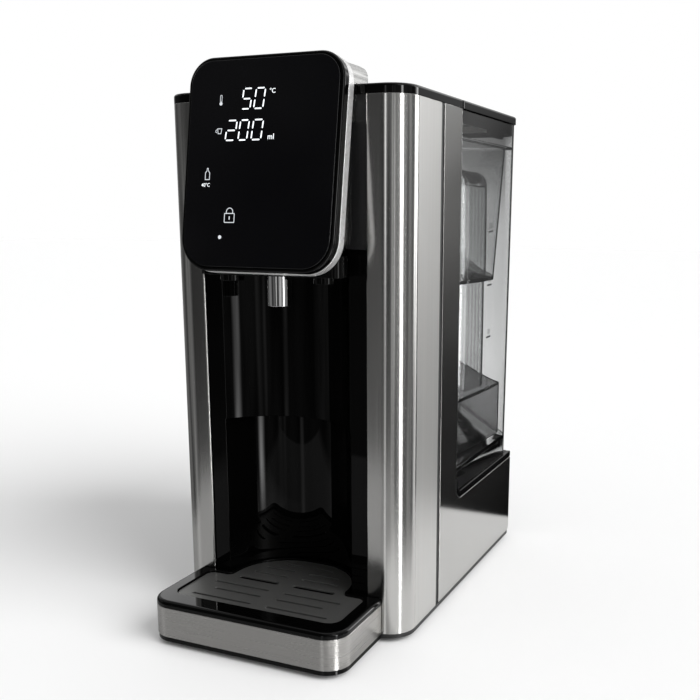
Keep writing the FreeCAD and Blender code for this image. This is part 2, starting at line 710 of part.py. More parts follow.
def build_tank():
    """Clear tank: a drafted shell with a ledge inside, a raised floor and an open skirt."""
    tank = Piece("tank_shell")
    tank.loft("Additive",
              ("tank_low", tank_plan("tank_half", "tank_front", "rear_y - tank_draft",
                                     "tank_corner")),
              ("tank_top", tank_plan("tank_half", "tank_front", "rear_y", "tank_corner")))
    thin = "tank_wall"
    thick = "(tank_wall + tank_ledge)"
    tank.pocket("XY", "ledge_z", "tank_top",
                tank_plan(f"tank_half - {thin}", f"tank_front + {thin}",
                          f"rear_y - {thin} - 0.5", f"tank_corner - {thin}"))
    tank.loft("Subtractive",
              ("floor_top", tank_plan(f"tank_half - {thick}", f"tank_front + {thick}",
                                      f"rear_y - tank_draft - {thick}",
                                      f"tank_corner - {thick}")),
              ("ledge_z", tank_plan(f"tank_half - {thick}", f"tank_front + {thick}",
                                    f"rear_y - 0.5 - {thick}", f"tank_corner - {thick}")))
    tank.pocket("XY", "tank_low", "floor_z",
                tank_plan(f"tank_half - {thin}", f"tank_front + {thin}",
                          f"rear_y - tank_draft - {thin}", f"tank_corner - {thin}"))
    tank.pocket("XY", "floor_z", "floor_top",
                circle("valve_x", "outlet_y", "valve_radius - 3 + part_fit"))


def build_insert():
    """Clear fill basket that hangs from the tank's ledge, with its filter and drop tube."""
    basket = Piece("tank_insert")
    low, top = "insert_low", "ledge_z"
    basket.loft("Additive",
                (low, tank_plan("insert_half - 4", "insert_front + 3",
                                "insert_rear - insert_taper", "tank_corner")),
                (top, tank_plan("insert_half", "insert_front", "insert_rear", "tank_corner")))
    basket.pad("XY", top, f"{top} + insert_wall",
               tank_plan("tank_half - tank_wall - part_fit",
                         "tank_front + tank_wall + part_fit",
                         "rear_y - 0.5 - tank_wall - part_fit", "tank_corner - tank_wall"))
    basket.loft("Subtractive",
                (f"{low} + insert_wall * 1.5",
                 tank_plan("insert_half - 4 - insert_wall", "insert_front + 3 + insert_wall",
                           "insert_rear - insert_taper - insert_wall",
                           "tank_corner - insert_wall")),
                (f"{top} + insert_wall",
                 tank_plan("insert_half - insert_wall", "insert_front + insert_wall",
                           "insert_rear - insert_wall", "tank_corner - insert_wall")))
    basket.pocket("XY", low, f"{low} + insert_wall * 1.5",
                  circle("filter_x", "column_y", "hose_radius"))

    half_x = "filter_width / 2"
    half_y = "filter_depth / 2"
    box = rectangle(f"filter_x - {half_x}", f"filter_x + {half_x}",
                    f"column_y - {half_y}", f"column_y + {half_y}", "filter_round")
    hollow = rectangle(f"filter_x - {half_x} + filter_wall", f"filter_x + {half_x} - filter_wall",
                       f"column_y - {half_y} + filter_wall", f"column_y + {half_y} - filter_wall",
                       "filter_round - filter_wall")
    floor = "insert_low + insert_wall * 1.5"
    cartridge = Piece("filter_cartridge")
    cartridge.pad("XY", floor, f"{floor} + filter_height", box)
    cartridge.round("filter_round * 0.9", at_level("z", f"{floor} + filter_height"))
    cartridge.pocket("XY", floor, f"{floor} + filter_height - filter_round", hollow)
    tube = Piece("drop_tube")
    tube.pad("XY", "strainer_top + part_fit", "insert_low - part_fit", box)
    tube.pocket("XY", "strainer_top + part_fit", "insert_low - part_fit", hollow)


def build_strainer():
    """Dark strainer cage over the outlet, open at the sides through its slots."""
    cage = Piece("outlet_strainer")
    half_x = "strainer_width / 2"
    front, rear = "outlet_y - strainer_reach", "outlet_y + strainer_rear"
    cage.pad("XY", "floor_top", "strainer_top",
             rectangle(f"valve_x - {half_x}", f"valve_x + {half_x}",
                       front, rear, "3"))
    cage.pocket("XY", "floor_top", "strainer_top - filter_wall",
                rectangle(f"valve_x - {half_x} + 2", f"valve_x + {half_x} - 2",
                          f"{front} + 2", f"{rear} - 2", "1.5"))
    for step in range(6):
        x = f"valve_x - {half_x} + 8 + {step} * (strainer_width - 16) / 5"
        cage.pocket("XZ", front, f"{front} + 2",
                    rectangle(f"{x} - 1.2", f"{x} + 1.2", "floor_top + 5", "strainer_top - 8"))


def build_valve():
    """Tank outlet valve: spigot body, sprung plunger, its seal and its spring."""
    centre = ("valve_x", "outlet_y")
    body = Piece("valve_body")
    body.pad("XY", "spigot_low", "floor_z", circle(*centre, "valve_radius"))
    body.pad("XY", "floor_z", "floor_top", circle(*centre, "valve_radius - 3"))
    body.pocket("XY", "spigot_low", "floor_top", circle(*centre, "valve_bore"))
    seal_low = "plunger_high - seal_thickness"
    plunger = Piece("valve_plunger")
    plunger.pad("XY", "plunger_low", "plunger_high", circle(*centre, "plunger_radius"))
    plunger.pad("XY", "plunger_high", "plunger_high + 2", circle(*centre, "plunger_head"))
    washer = Piece("valve_seal")
    washer.pad("XY", seal_low, "plunger_high", circle(*centre, "plunger_head"),
               circle(*centre, "plunger_radius + 0.1"))
    low = number("plunger_high + 2 + spring_wire + 0.1")
    high = number("strainer_top - filter_wall - spring_wire - part_fit")
    turns = number("spring_turns")
    radius = number("spring_radius")
    helix = Part.makeHelix((high - low) / turns, high - low, radius)
    start = FreeCAD.Vector(radius, 0, 0)
    profile = Part.Wire(Part.makeCircle(number("spring_wire"), start, FreeCAD.Vector(0, 1, 0)))
    sweep = Part.Wire(helix).makePipeShell([profile], True, True)
    spring = doc.addObject("Part::Feature", "valve_spring")
    spring.Shape = sweep
    spring.Placement.Base = FreeCAD.Vector(number("valve_x"), number("outlet_y"), low)
    keep("valve_spring", spring)


def build_lid():
    """Tank lid with a round-cornered top, a skirt inside the tank, side tabs and a seal."""
    lid = Piece("tank_lid")
    lid.pad("XY", "cap_z", "top_z",
            tank_plan("half_width", "bay_y + part_fit", "rear_y", "tank_corner"))
    side = "tank_half - tank_wall - 2 * part_fit"
    front = "tank_front + tank_wall + 2 * part_fit"
    rear = "rear_y - tank_wall - 0.5 - 2 * part_fit"
    corner = "tank_corner - tank_wall"
    skirt = "2"
    lid.pad("XY", "cap_z - lid_skirt", "cap_z", tank_plan(side, front, rear, corner))
    lid.pocket("XY", "cap_z - lid_skirt", "cap_z",
               tank_plan(f"{side} - {skirt}", f"{front} + {skirt}", f"{rear} - {skirt}",
                         f"{corner} - {skirt}"))
    tab_y = "front_y + lid_tab_place"
    for sign in (1, -1):
        lid.pad("YZ", *across(sign, f"{side} - {skirt}", side), [
            (f"{tab_y} - lid_tab_width / 2", "cap_z"),
            (f"{tab_y} - lid_tab_width / 2 + 6", "cap_z - lid_tab_drop", "3"),
            (f"{tab_y} + lid_tab_width / 2 - 6", "cap_z - lid_tab_drop", "3"),
            (f"{tab_y} + lid_tab_width / 2", "cap_z")])
    lid.pocket("XY", "top_z - 2.5", "top_z",
               rectangle("-22", "22", "rear_y - 30", "rear_y - 14", "7.9"))
    edge_front = number("bay_y + part_fit") + 1e-3

    def outer(edge):
        """Edges of the lid's outside top, without the finger dish."""
        middle = edge.valueAt((edge.FirstParameter + edge.LastParameter) / 2)
        far = abs(middle.x) > 30 or middle.y > number("rear_y - 5")
        return far and middle.y > edge_front
    lid.round("cap_round", both(at_level("z", "top_z"), outer))
    inner = f"{side} - {skirt} - skin_fit"
    gasket = Piece("lid_seal")
    gasket.pad("XY", "cap_z - seal_band", "cap_z",
               tank_plan(inner, f"{front} + {skirt} + skin_fit", f"{rear} - {skirt} - skin_fit",
                         f"{corner} - {skirt} - skin_fit"))
    gasket.pocket("XY", "cap_z - seal_band", "cap_z",
                  tank_plan(f"{inner} - 2.4", f"{front} + {skirt} + skin_fit + 2.4",
                            f"{rear} - {skirt} - skin_fit - 2.4",
                            f"{corner} - {skirt} - skin_fit - 2.4"))


# ---------------------------------------------------------------- control head

def lean(piece):
    """Stand a body that is drawn upright at the foot of the leaning face."""
    body = piece.body
    body.Placement = FreeCAD.Placement(FreeCAD.Vector(),
                                       FreeCAD.Rotation(FreeCAD.Vector(-1, 0, 0), 9))
    bind(body, "Placement.Rotation.Angle", "head_tilt")
    bind(body, "Placement.Base.y", "face_y")
    bind(body, "Placement.Base.z", "face_z")


def face_outline(inset):
    """The face's outline, drawn upright from its foot and set in by a margin."""
    low, high = f"face_round_low - ({inset})", f"face_round_high - ({inset})"
    return rectangle(f"-(face_half - ({inset}))", f"face_half - ({inset})", inset,
                     f"face_height - ({inset})", low, low, high, high)


def build_face():
    """Display glass, the bezel round it, the steel ring behind, the board and its display."""
    glass = Piece("display_glass")
    glass.pad("XZ", "0", "glass_thickness", face_outline("glass_inset"))
    lean(glass)
    bezel = Piece("head_bezel")
    bezel.pad("XZ", "glass_proud", "bezel_back", face_outline("0"))
    bezel.pocket("XZ", "glass_proud", "glass_thickness + 0.1",
                 face_outline("glass_inset - part_fit"))
    bezel.pocket("XZ", "glass_thickness", "bezel_back", face_outline("glass_inset + bezel_rim"))
    reach = number("face_half - 0.5")
    limits = (number("0.5"), number("face_height - 0.5"))

    def rim(edge):
        """Edges on the bezel's outer outline."""
        middle = edge.valueAt((edge.FirstParameter + edge.LastParameter) / 2)
        inside = abs(middle.x) < reach and limits[0] < middle.z < limits[1]
        return not inside or edge_round(middle)

    def edge_round(point):
        """Points on the outline's round corners."""
        half, radius_low = number("face_half"), number("face_round_low")
        radius_high, tall = number("face_round_high"), number("face_height")
        radius = radius_low if point.z < tall / 2 else radius_high
        centre_z = radius if point.z < tall / 2 else tall - radius
        distance = math.hypot(abs(point.x) - half + radius, point.z - centre_z)
        return abs(distance - radius) < 0.05
    bezel.round("bezel_round", both(at_level("y", "glass_proud"), rim))
    lean(bezel)
    ring = Piece("head_ring")
    ring.pad("XZ", "bezel_back", "ring_back", face_outline("-0.3"))
    ring.pocket("XZ", "bezel_back", "ring_back", face_outline("3"))
    lean(ring)
    board = Piece("display_board")
    board.pad("XZ", "bezel_back + 0.1", "bezel_back + board_thickness",
              face_outline("glass_inset + bezel_rim - 3"))
    lean(board)
    display = Piece("display_module")
    display.pad("XZ", "glass_thickness + 0.1", "bezel_back",
                rectangle("-34", "14", "66", "104", "1.5"))
    lean(display)


def shell_solid(name, inset):
    """The head shell's outer form, or its inner form when set in by a wall."""
    slab = Piece(name + "_slab", kept=False)
    front = "ring_back" if inset == "0" else "ring_back - 5"
    slab.pad("XZ", front, "ring_back + 90", rectangle("-face_width", "face_width", "-20",
                                                      "face_height + 20"))
    lean(slab)
    blank = Piece(name + "_blank", kept=False)
    half, crown = f"shell_half - ({inset})", f"shell_crown - ({inset})"
    round_low = f"face_round_low - shell_inset - ({inset})"
    round_high = f"face_round_high - shell_inset - ({inset})"
    blank.pad("XZ", "face_y - 5", "front_y + shell_rear",
              rectangle(f"-({half})", half, f"face_z + shell_inset + ({inset})", crown,
                        round_low, round_low, round_high, round_high))
    low = "base_z + face_foot + shell_rise" if inset == "0" else "base_z + face_foot - 20"
    profile = Piece(name + "_profile", kept=False)
    back, rear = f"front_y - shell_back - ({inset})", f"front_y + shell_rear - ({inset})"
    hip = f"liner_y - part_fit - ({inset})"
    step, deck = f"shell_step_z + ({inset})", f"top_z + skin_fit + ({inset})"
    profile.pad("YZ", "-face_half", "face_half", [
        ("face_y - 20", low),
        (back, low, "shell_low_round") if inset == "0" else (back, low),
        (back, step),
        (hip, step),
        (hip, deck),
        (rear, deck),
        (rear, crown, f"shell_rear_round - ({inset})"),
        ("face_y - 20", crown)])
    plan = Piece(name + "_plan", kept=False)
    plan.pad("XY", "base_z + face_foot - 30", "shell_crown + 20",
             rectangle(f"-({half})", half, "face_y - 30", rear,
                       "0", "0", "shell_round", "shell_round"))
    return common(name, [slab.body, blank.body, profile.body, plan.body], kept=False)


def build_head_shell():
    """Steel shell of the head: a leaning block, hollow, with an opening for its neck."""
    outer = shell_solid("shell_outer", "0")
    inner = shell_solid("shell_inner", "shell_wall")
    gap = "neck_width / 2 + part_fit"
    opening = block("neck_opening", (f"-({gap})", gap), ("front_y - shell_back - 6", "liner_y"),
                    ("base_z + neck_low - part_fit", "base_z + neck_high + part_fit"), kept=False)
    notch = block("hose_opening", ("-hose_radius - 2", "hose_radius + 2"),
                  ("front_y - shell_back - 6", "liner_y"), ("face_z", "base_z + neck_low"),
                  kept=False)
    cut("head_shell", outer, fuse("shell_space", [inner, opening, notch], kept=False))


def build_head_frame():
    """Moulded frame behind the head: front plate, floor, neck and ribs to the bulkhead."""
    frame = Piece("head_frame")
    plate = "liner_top + skin_fit"
    frame.pad("XY", plate, f"{plate} + frame_wall",
              rectangle("-liner_half", "liner_half", "liner_y", "front_y + core_return"))
    frame.pad("XY", plate, "cap_z",
              rectangle("-liner_half", "liner_half", "liner_y", "liner_y + liner_wall"))
    for side in (1, -1):
        frame.pad("YZ", *across(side, "liner_half - liner_wall", "liner_half"), [
            ("liner_y", "heater_top + 13"),
            ("bay_y - frame_wall - skin_fit", "heater_top + 13"),
            ("bay_y - frame_wall - skin_fit", "cap_z"),
            ("liner_y", "cap_z")])
    half = "neck_width / 2"
    low, high = "base_z + neck_low", "base_z + neck_high"
    frame.pad("XZ", "neck_front", "liner_y", rectangle(f"-{half}", half, low, high, "2"))
    frame.pocket("XZ", "neck_front", "liner_y",
                 rectangle(f"-{half} + frame_wall", f"{half} - frame_wall",
                           f"{low} + frame_wall", f"{high} - frame_wall"))
    frame.pocket("XZ", "liner_y", "liner_y + liner_wall", circle("0", "hose_z", "hose_radius + 2"))
    frame.pocket("XY", plate, "hose_z", circle("0", "nozzle_y", "hose_radius + 2"))


def build_underside():
    """Black cover under the head with two screw wells, and the screws in them."""
    wells = [(f"{side} * well_spacing / 2", "front_y - well_setback") for side in (1, -1)]
    tray = Piece("underside_body", kept=False)
    half = "shell_half - shell_wall - part_fit"
    low, high = "under_z", "under_z + underside_depth"
    front, rear = "front_y - 17.5", "front_y + 25"
    wall = "frame_wall"
    tray.pad("XY", low, high, rectangle(f"-({half})", half, front, rear, "6", "6", "1", "1"))
    tray.pocket("XY", f"{low} + {wall}", high,
                rectangle(f"-({half}) + {wall}", f"{half} - {wall}", f"{front} + {wall}",
                          f"{rear} - 14", "4", "4", "1", "1"))
    for x, y in wells:
        tray.pad("XY", f"{low} - well_drop", f"{low} + {wall}", circle(x, y, "well_radius"))
        tray.pocket("XY", f"{low} - well_drop", f"{low} + {wall}", circle(x, y, "screw_radius"))
        tray.pocket("XY", f"{low} - well_drop", low, circle(x, y, "screw_head + 0.8"))
    tray.pocket("XY", low, f"{low} + {wall}", circle("0", "nozzle_y", "nozzle_radius + 0.2"))
    drum = rod("underside_drum", "arch_radius - 2 * part_fit",
               ("0", "front_y - arch_setback", f"{low} - well_drop - 1"), "40", kept=False)
    common("underside_cover", [tray.body, drum])
    group("head_screws", [screw(f"head_screw_{i}", (x, y, f"{low} - screw_head_height - 0.1"),
                                "z", "9")
                          for i, (x, y) in enumerate(wells)])


# ---------------------------------------------------------------- water path

def hose(label, route, bend="hose_bend", kept=True):
    """A hose along straight runs joined by tangent arcs; route points are formulas."""
    radius = number(bend)
    points = [FreeCAD.Vector(*(number(part) for part in point)) for point in route]
    edges = []
    start = points[0]
    for before, corner, after in zip(points, points[1:], points[2:]):
        inward = (corner - before).normalize()
        outward = (after - corner).normalize()
        turn = math.acos(max(-1.0, min(1.0, inward.dot(outward))))
        reach = radius * math.tan(turn / 2)
        enter, leave = corner - inward * reach, corner + outward * reach
        inside = (outward - inward).normalize()
        middle = corner + inside * (radius / math.cos(turn / 2) - radius)
        edges.append(Part.LineSegment(start, enter).toShape())
        edges.append(Part.Arc(enter, middle, leave).toShape())
        start = leave
    edges.append(Part.LineSegment(start, points[-1]).toShape())
    spine = Part.Wire(edges)
    along = (points[1] - points[0]).normalize()
    rings = [Part.Face(Part.Wire(Part.makeCircle(number(size), points[0], along)))
             for size in ("hose_radius", "hose_bore")]
    outer, inner = (spine.makePipe(ring) for ring in rings)
    tube = outer.cut(inner)
    length = sum(edge.Length for edge in edges)
    section = math.pi * (number("hose_radius") ** 2 - number("hose_bore") ** 2)
    if abs(tube.Volume / (section * length) - 1) > 0.02:
        raise ValueError(f"{label}: the hose's volume doesn't fit its length")
    item = doc.addObject("Part::Feature", label)
    item.Shape = tube
    return keep(label, item) if kept else item


def build_nozzle():
    """Chrome spout through the underside cover, with its seal and the hose to it."""
    centre = ("0", "nozzle_y")
    spout = Piece("nozzle")
    spout.pad("XY", "base_z + nozzle_low", "nozzle_top", circle(*centre, "nozzle_radius"))
    spout.pad("XY", "under_z + frame_wall + 2", "under_z + frame_wall + 4",
              circle(*centre, "nozzle_radius + 3"))
    spout.pad("XY", "nozzle_top", "nozzle_top + 6", circle(*centre, "hose_radius"))
    spout.pocket("XY", "base_z + nozzle_low", "nozzle_top + 6", circle(*centre, "nozzle_bore"))
    seal = Piece("nozzle_seal")
    seal.pad("XY", "under_z + frame_wall", "under_z + frame_wall + 2",
             circle(*centre, "nozzle_radius + 2.6"), circle(*centre, "nozzle_radius + 0.05"))
    hose("outlet_hose", [("-heater_x", "heater_back", "heater_top + port_length"),
                         ("-heater_x", "heater_back", "hose_z"),
                         ("0", "heater_back", "hose_z"),
                         ("0", "nozzle_y", "hose_z"),
                         ("0", "nozzle_y", "nozzle_top + 6")])


def build_heater():
    """Flow heater with a port at each end, two clamps and two thermal cut-outs."""
    axis = ("-heater_x", "heater_back")
    heater = Piece("heater")
    heater.pad("XY", "heater_z", "heater_top", circle(*axis, "heater_radius"))
    heater.pad("XY", "heater_z - port_length", "heater_z", circle(*axis, "hose_radius"))
    heater.pad("XY", "heater_top", "heater_top + port_length", circle(*axis, "hose_radius"))
    heater.pocket("XY", "heater_z - port_length", "heater_top + port_length",
                  circle(*axis, "hose_bore"))
    clamps = []
    for i, height in enumerate(("heater_z + 15", "heater_top - 25")):
        ring = rod(f"clamp_ring_{i}", "heater_radius + 2.5", (*axis, height), "10", kept=False)
        foot = block(f"clamp_foot_{i}", ("-heater_x - 10", "-heater_x + 10"),
                     ("heater_back", "bay_y - frame_wall - skin_fit"),
                     (height, f"{height} + 10"), kept=False)
        bore = rod(f"clamp_bore_{i}", "heater_radius + 0.1", (*axis, f"{height} - 1"), "12",
                   kept=False)
        solid = fuse(f"clamp_solid_{i}", [ring, foot], kept=False)
        clamps.append(cut(f"clamp_{i}", solid, bore, kept=False))
    group("heater_clamps", clamps)
    group("thermal_cutouts", [
        rod(f"cutout_{i}", "7", ("-heater_x + heater_radius + 0.1", "heater_back", height),
            "8", "x", kept=False)
        for i, height in enumerate(("heater_z + 45", "heater_z + 70"))])


def build_pump():
    """Pump lying under the tank shelf on two rubber saddles, the meter and the hoses."""
    low_x = "pump_x - pump_length / 2"
    high_x = "pump_x + pump_length / 2"
    barrel = rod("pump_barrel", "pump_radius", (f"{low_x}", "outlet_y", "pump_z"),
                 "pump_length", "x", kept=False)
    inlet = rod("pump_inlet", "hose_radius", (high_x, "outlet_y", "pump_z"), "port_length",
                "x", kept=False)
    outlet = rod("pump_outlet", "hose_radius", (f"{low_x} - port_length", "outlet_y", "pump_z"),
                 "port_length", "x", kept=False)
    fuse("pump", [barrel, inlet, outlet])
    saddles = []
    for i, x in enumerate((f"{low_x} + 4", f"{high_x} - 14")):
        pad = block(f"saddle_pad_{i}", (x, f"{x} + 10"), ("outlet_y - 14", "outlet_y + 14"),
                    ("steel_z", "pump_z - 8"), kept=False)
        bore = rod(f"saddle_bore_{i}", "pump_radius + 0.1", (f"{x} - 1", "outlet_y", "pump_z"),
                   "12", "x", kept=False)
        saddles.append(cut(f"saddle_{i}", pad, bore, kept=False))
    group("pump_mounts", saddles)
    meter = Piece("flow_meter")
    axis = ("-heater_x", "heater_back")
    meter.pad("XY", "meter_z", "meter_z + meter_length", circle(*axis, "meter_radius"))
    meter.pocket("XY", "meter_z", "meter_z + meter_length", circle(*axis, "hose_bore"))
    hose("suction_hose", [("valve_x", "outlet_y", "shelf_z - 15"),
                          ("valve_x", "outlet_y", "pump_z"),
                          (f"{high_x} + port_length", "outlet_y", "pump_z")], "9")
    supply = hose("pump_hose", [(f"{low_x} - port_length", "outlet_y", "pump_z"),
                                ("-heater_x", "outlet_y", "pump_z"),
                                ("-heater_x", "heater_back", "pump_z"),
                                ("-heater_x", "heater_back", "meter_z")], kept=False)
    riser = hose("riser_hose", [("-heater_x", "heater_back", "meter_z + meter_length"),
                                ("-heater_x", "heater_back", "heater_z - port_length")],
                 kept=False)
    group("supply_hoses", [supply, riser])


def build_board():
    """Power board on stand-offs in front of the bulkhead, and the parts soldered to it."""
    left, right = "board_x - board_width / 2", "board_x + board_width / 2"
    block("power_board", (left, right), ("board_y", "board_y + board_thickness"),
          ("board_z", "board_z + board_height"))
    group("standoffs", [
        rod(f"standoff_{i}", "3", (x, "board_y + board_thickness", z), "standoff_length", "y",
            kept=False)
        for i, (x, z) in enumerate([(x, z) for x in (f"{left} + 6", f"{right} - 6")
                                    for z in ("board_z + 6", "board_z + board_height - 6")])])
    parts = [block("relay", (f"{left} + 8", f"{left} + 28"), ("board_y - 15", "board_y"),
                   ("board_z + 20", "board_z + 48"), kept=False),
             block("heat_sink", (f"{right} - 24", f"{right} - 6"), ("board_y - 18", "board_y"),
                   ("board_z + 60", "board_z + 105"), kept=False)]
    for i in range(3):
        parts.append(rod(f"capacitor_{i}", "5", (f"{left} + 12 + {i} * 13", "board_y - 14",
                                                 "board_z + 118"), "14", "y", kept=False))
    group("board_parts", parts)


# ---------------------------------------------------------------- drip tray

def grate_outline(margin):
    """Plan of the grate: its rear corners curve in to the tongue, grown by a margin."""
    half = f"grate_half + ({margin})"
    tongue = f"grate_tongue + ({margin})"
    rear = f"grate_rear + ({margin})"
    back = f"grate_back + ({margin})"
    front = f"grate_front - ({margin})"
    end = f"({tongue}) * 0.88"
    return [
        (half, back, "grate_shoulder"),
        (tongue, back, "grate_notch"),
        (tongue, rear, end),
        (f"-({tongue})", rear, end),
        (f"-({tongue})", back, "grate_notch"),
        (f"-({half})", back, "grate_shoulder"),
        (f"-({half})", front, "grate_corner"),
        (half, front, "grate_corner")]


def build_tray():
    """Drip tray that slides out, its steel band, the lift-out grate and its feet."""
    tray = Piece("drip_tray")
    inner = "tray_half - steel_gauge - skin_fit"
    front = "tray_front + steel_gauge + skin_fit"
    corner = "tray_corner - steel_gauge - skin_fit"
    base = rectangle("-tray_half + 0.4", "tray_half - 0.4", "tray_front + 0.4", "tray_back",
                     "tray_corner - 0.4", "tray_corner - 0.4", "0", "0")
    tray.pad("XY", "base_z", "base_z + band_low", base)
    waist = rectangle(f"-({inner})", inner, front, "tray_back", corner, corner, "0", "0")
    tray.pad("XY", "base_z + band_low", "base_z + band_high", waist)
    tray.pad("XY", "base_z + band_high", "rim_z",
             rectangle("-tray_half", "tray_half", "tray_front", "tray_back",
                       "tray_corner", "tray_corner", "0", "0"))
    back = at_level("y", "tray_back")
    tray.round("rim_round", both(at_level("z", "rim_z"), lambda edge: not back(edge)))
    tray.pad("XY", "tongue_z", "rim_z",
             rectangle("-tongue_half", "tongue_half", "front_y - 10", "tongue_rear", "0", "0",
                       "tongue_half * 0.996", "tongue_half * 0.996"))
    tray.pocket("XY", "grate_z", "rim_z", grate_outline("part_fit"))
    tray.pocket("XY", "tongue_z + tray_floor", "grate_z", grate_outline("-grate_ledge"))
    band = Piece("tray_band")
    band.pad("XY", "base_z + band_low + 0.1", "base_z + band_high - 0.1", [
        ("tray_half", "tray_back"),
        ("tray_half - steel_gauge", "tray_back"),
        ("tray_half - steel_gauge", "tray_front + steel_gauge", "tray_corner - steel_gauge"),
        ("-tray_half + steel_gauge", "tray_front + steel_gauge", "tray_corner - steel_gauge"),
        ("-tray_half + steel_gauge", "tray_back"),
        ("-tray_half", "tray_back"),
        ("-tray_half", "tray_front", "tray_corner"),
        ("tray_half", "tray_front", "tray_corner")])
    grate = Piece("grate")
    low = "grate_z + part_fit"
    grate.pad("XY", low, f"{low} + grate_thickness", grate_outline("0"))
    rows = [(-35.8, 46, 1), (-24.6, 37.5, 1), (-15.0, 44, 1), (-3.2, 34, 2), (8.0, 30, 1),
            (17.5, 26, 1), (27.0, 17, 1)]
    for setback, reach, wide in rows:
        y = f"front_y + ({setback})"
        for side in (1, -1):
            grate.pocket("XY", low, f"{low} + grate_thickness",
                         slot(*across(side, "5", str(reach)), y, f"slot_width * {wide}"))
    group("tray_feet", [
        rod(f"tray_foot_{i}", "tray_foot_radius",
            (f"{side} * (tray_half - tray_corner)", "tray_front + tray_corner", "0"),
            "foot_height", kept=False)
        for i, side in enumerate((1, -1))])


def build_all():
    """Every piece of the machine."""
    build_base()
    for side, name in ((1, "right"), (-1, "left")):
        build_pillar(side, name)
        build_side(side, name)
    build_chassis()
    build_rear()
    build_liner()
    build_top_cover()
    build_seat()
    build_tank()
    build_insert()
    build_strainer()
    build_valve()
    build_lid()
    build_face()
    build_head_shell()
    build_head_frame()
    build_underside()
    build_nozzle()
    build_heater()
    build_pump()
    build_board()
    build_tray()


def check_and_write():
    """Refuse a failed object or an empty or invalid shape, then write each piece's file."""
    doc.recompute()
    for item in doc.Objects:
        if "Invalid" in item.State or "Error" in item.State:
            raise ValueError(f"{item.Label} failed: {item.State}")
    for label, item in pieces.items():
        if item.Label != label:
            raise ValueError(f"{label} is labelled {item.Label}")
        if item.Shape.isNull() or not item.Shape.isValid() or not item.Shape.Solids:
            raise ValueError(f"{label} has no valid solid")
    os.makedirs("parts", exist_ok=True)
    for label, item in pieces.items():
        item.Shape.exportStep(f"parts/{label}.step")
        print(f"{label:20s} {len(item.Shape.Solids)} solid(s) {item.Shape.Volume:12.1f} mm3")


fill_sheet()
build_all()
check_and_write()
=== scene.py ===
"""Looks of the countertop water dispenser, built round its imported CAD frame.

Metres, in the CAD's own frame: +X is the user's right, +Y the rear, +Z up.
"""
import json
import math

import bmesh
import bpy
from mathutils import Matrix, Vector


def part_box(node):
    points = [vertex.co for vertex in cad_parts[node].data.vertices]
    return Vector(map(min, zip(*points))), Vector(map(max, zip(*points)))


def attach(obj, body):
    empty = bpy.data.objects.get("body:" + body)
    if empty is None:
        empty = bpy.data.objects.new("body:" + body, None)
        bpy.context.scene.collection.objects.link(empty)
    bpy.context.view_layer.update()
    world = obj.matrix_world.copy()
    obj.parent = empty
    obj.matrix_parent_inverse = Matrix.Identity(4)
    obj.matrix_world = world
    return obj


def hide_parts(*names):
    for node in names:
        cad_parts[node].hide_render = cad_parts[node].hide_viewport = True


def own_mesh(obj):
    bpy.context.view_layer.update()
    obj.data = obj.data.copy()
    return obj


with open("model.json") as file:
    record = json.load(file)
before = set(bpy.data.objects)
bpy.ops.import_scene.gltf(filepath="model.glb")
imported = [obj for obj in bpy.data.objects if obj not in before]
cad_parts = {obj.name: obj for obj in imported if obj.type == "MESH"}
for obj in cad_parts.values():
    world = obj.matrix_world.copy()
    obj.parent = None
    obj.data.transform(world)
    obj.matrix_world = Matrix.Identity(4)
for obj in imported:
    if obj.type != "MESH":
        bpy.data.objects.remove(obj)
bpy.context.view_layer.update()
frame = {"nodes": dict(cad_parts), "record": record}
MM = 0.001
scene = bpy.context.scene

# ------------------------------------------------------------------ key places from the CAD

FRONT_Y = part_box("right_front_wrap")[0].y
TANK_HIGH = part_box("tank_shell")[1]
BASE_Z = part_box("base_pan")[0].z
HEAD_TILT = math.radians(9.1)
FACE_FOOT = Vector((0, FRONT_Y - 31.6 * MM, BASE_Z + 219.1 * MM))


# ------------------------------------------------------------------ node helpers

def link(tree, source, target):
    """Join two sockets, given as (node, socket name or number)."""
    tree.links.new(source[0].outputs[source[1]], target[0].inputs[target[1]])


def node(tree, kind, values=None, **settings):
    """A node with its settings and input values."""
    made = tree.nodes.new(kind)
    for name, value in settings.items():
        setattr(made, name, value)
    for name, value in (values or {}).items():
        made.inputs[name].default_value = value
    return made


def math_node(tree, operation, first, second=None, clamp=False):
    """A Math node on sockets, given as (node, socket), or numbers; returns its output."""
    made = node(tree, "ShaderNodeMath", operation=operation, use_clamp=clamp)
    for slot_number, given in enumerate((first, second)):
        if given is None:
            continue
        if isinstance(given, tuple):
            link(tree, given, (made, slot_number))
        else:
            made.inputs[slot_number].default_value = given
    return made, 0


def ramp(tree, source, stops):
    """A colour ramp of grey or coloured stops on a value."""
    made = node(tree, "ShaderNodeValToRGB")
    elements = made.color_ramp.elements
    while len(elements) < len(stops):
        elements.new(0.5)
    for element, (place, level) in zip(elements, stops):
        element.position = place
        colour = level if isinstance(level, tuple) else (level, level, level)
        element.color = (*colour, 1)
    link(tree, source, (made, 0))
    return made, 0


def remap(tree, source, low, high, out_low=0.0, out_high=1.0, smooth=False):
    """A Map Range node, clamped."""
    made = node(tree, "ShaderNodeMapRange", {"From Min": low, "From Max": high,
                                             "To Min": out_low, "To Max": out_high})
    made.interpolation_type = "SMOOTHSTEP" if smooth else "LINEAR"
    link(tree, source, (made, "Value"))
    return made, "Result"


# ------------------------------------------------------------------ shared effects

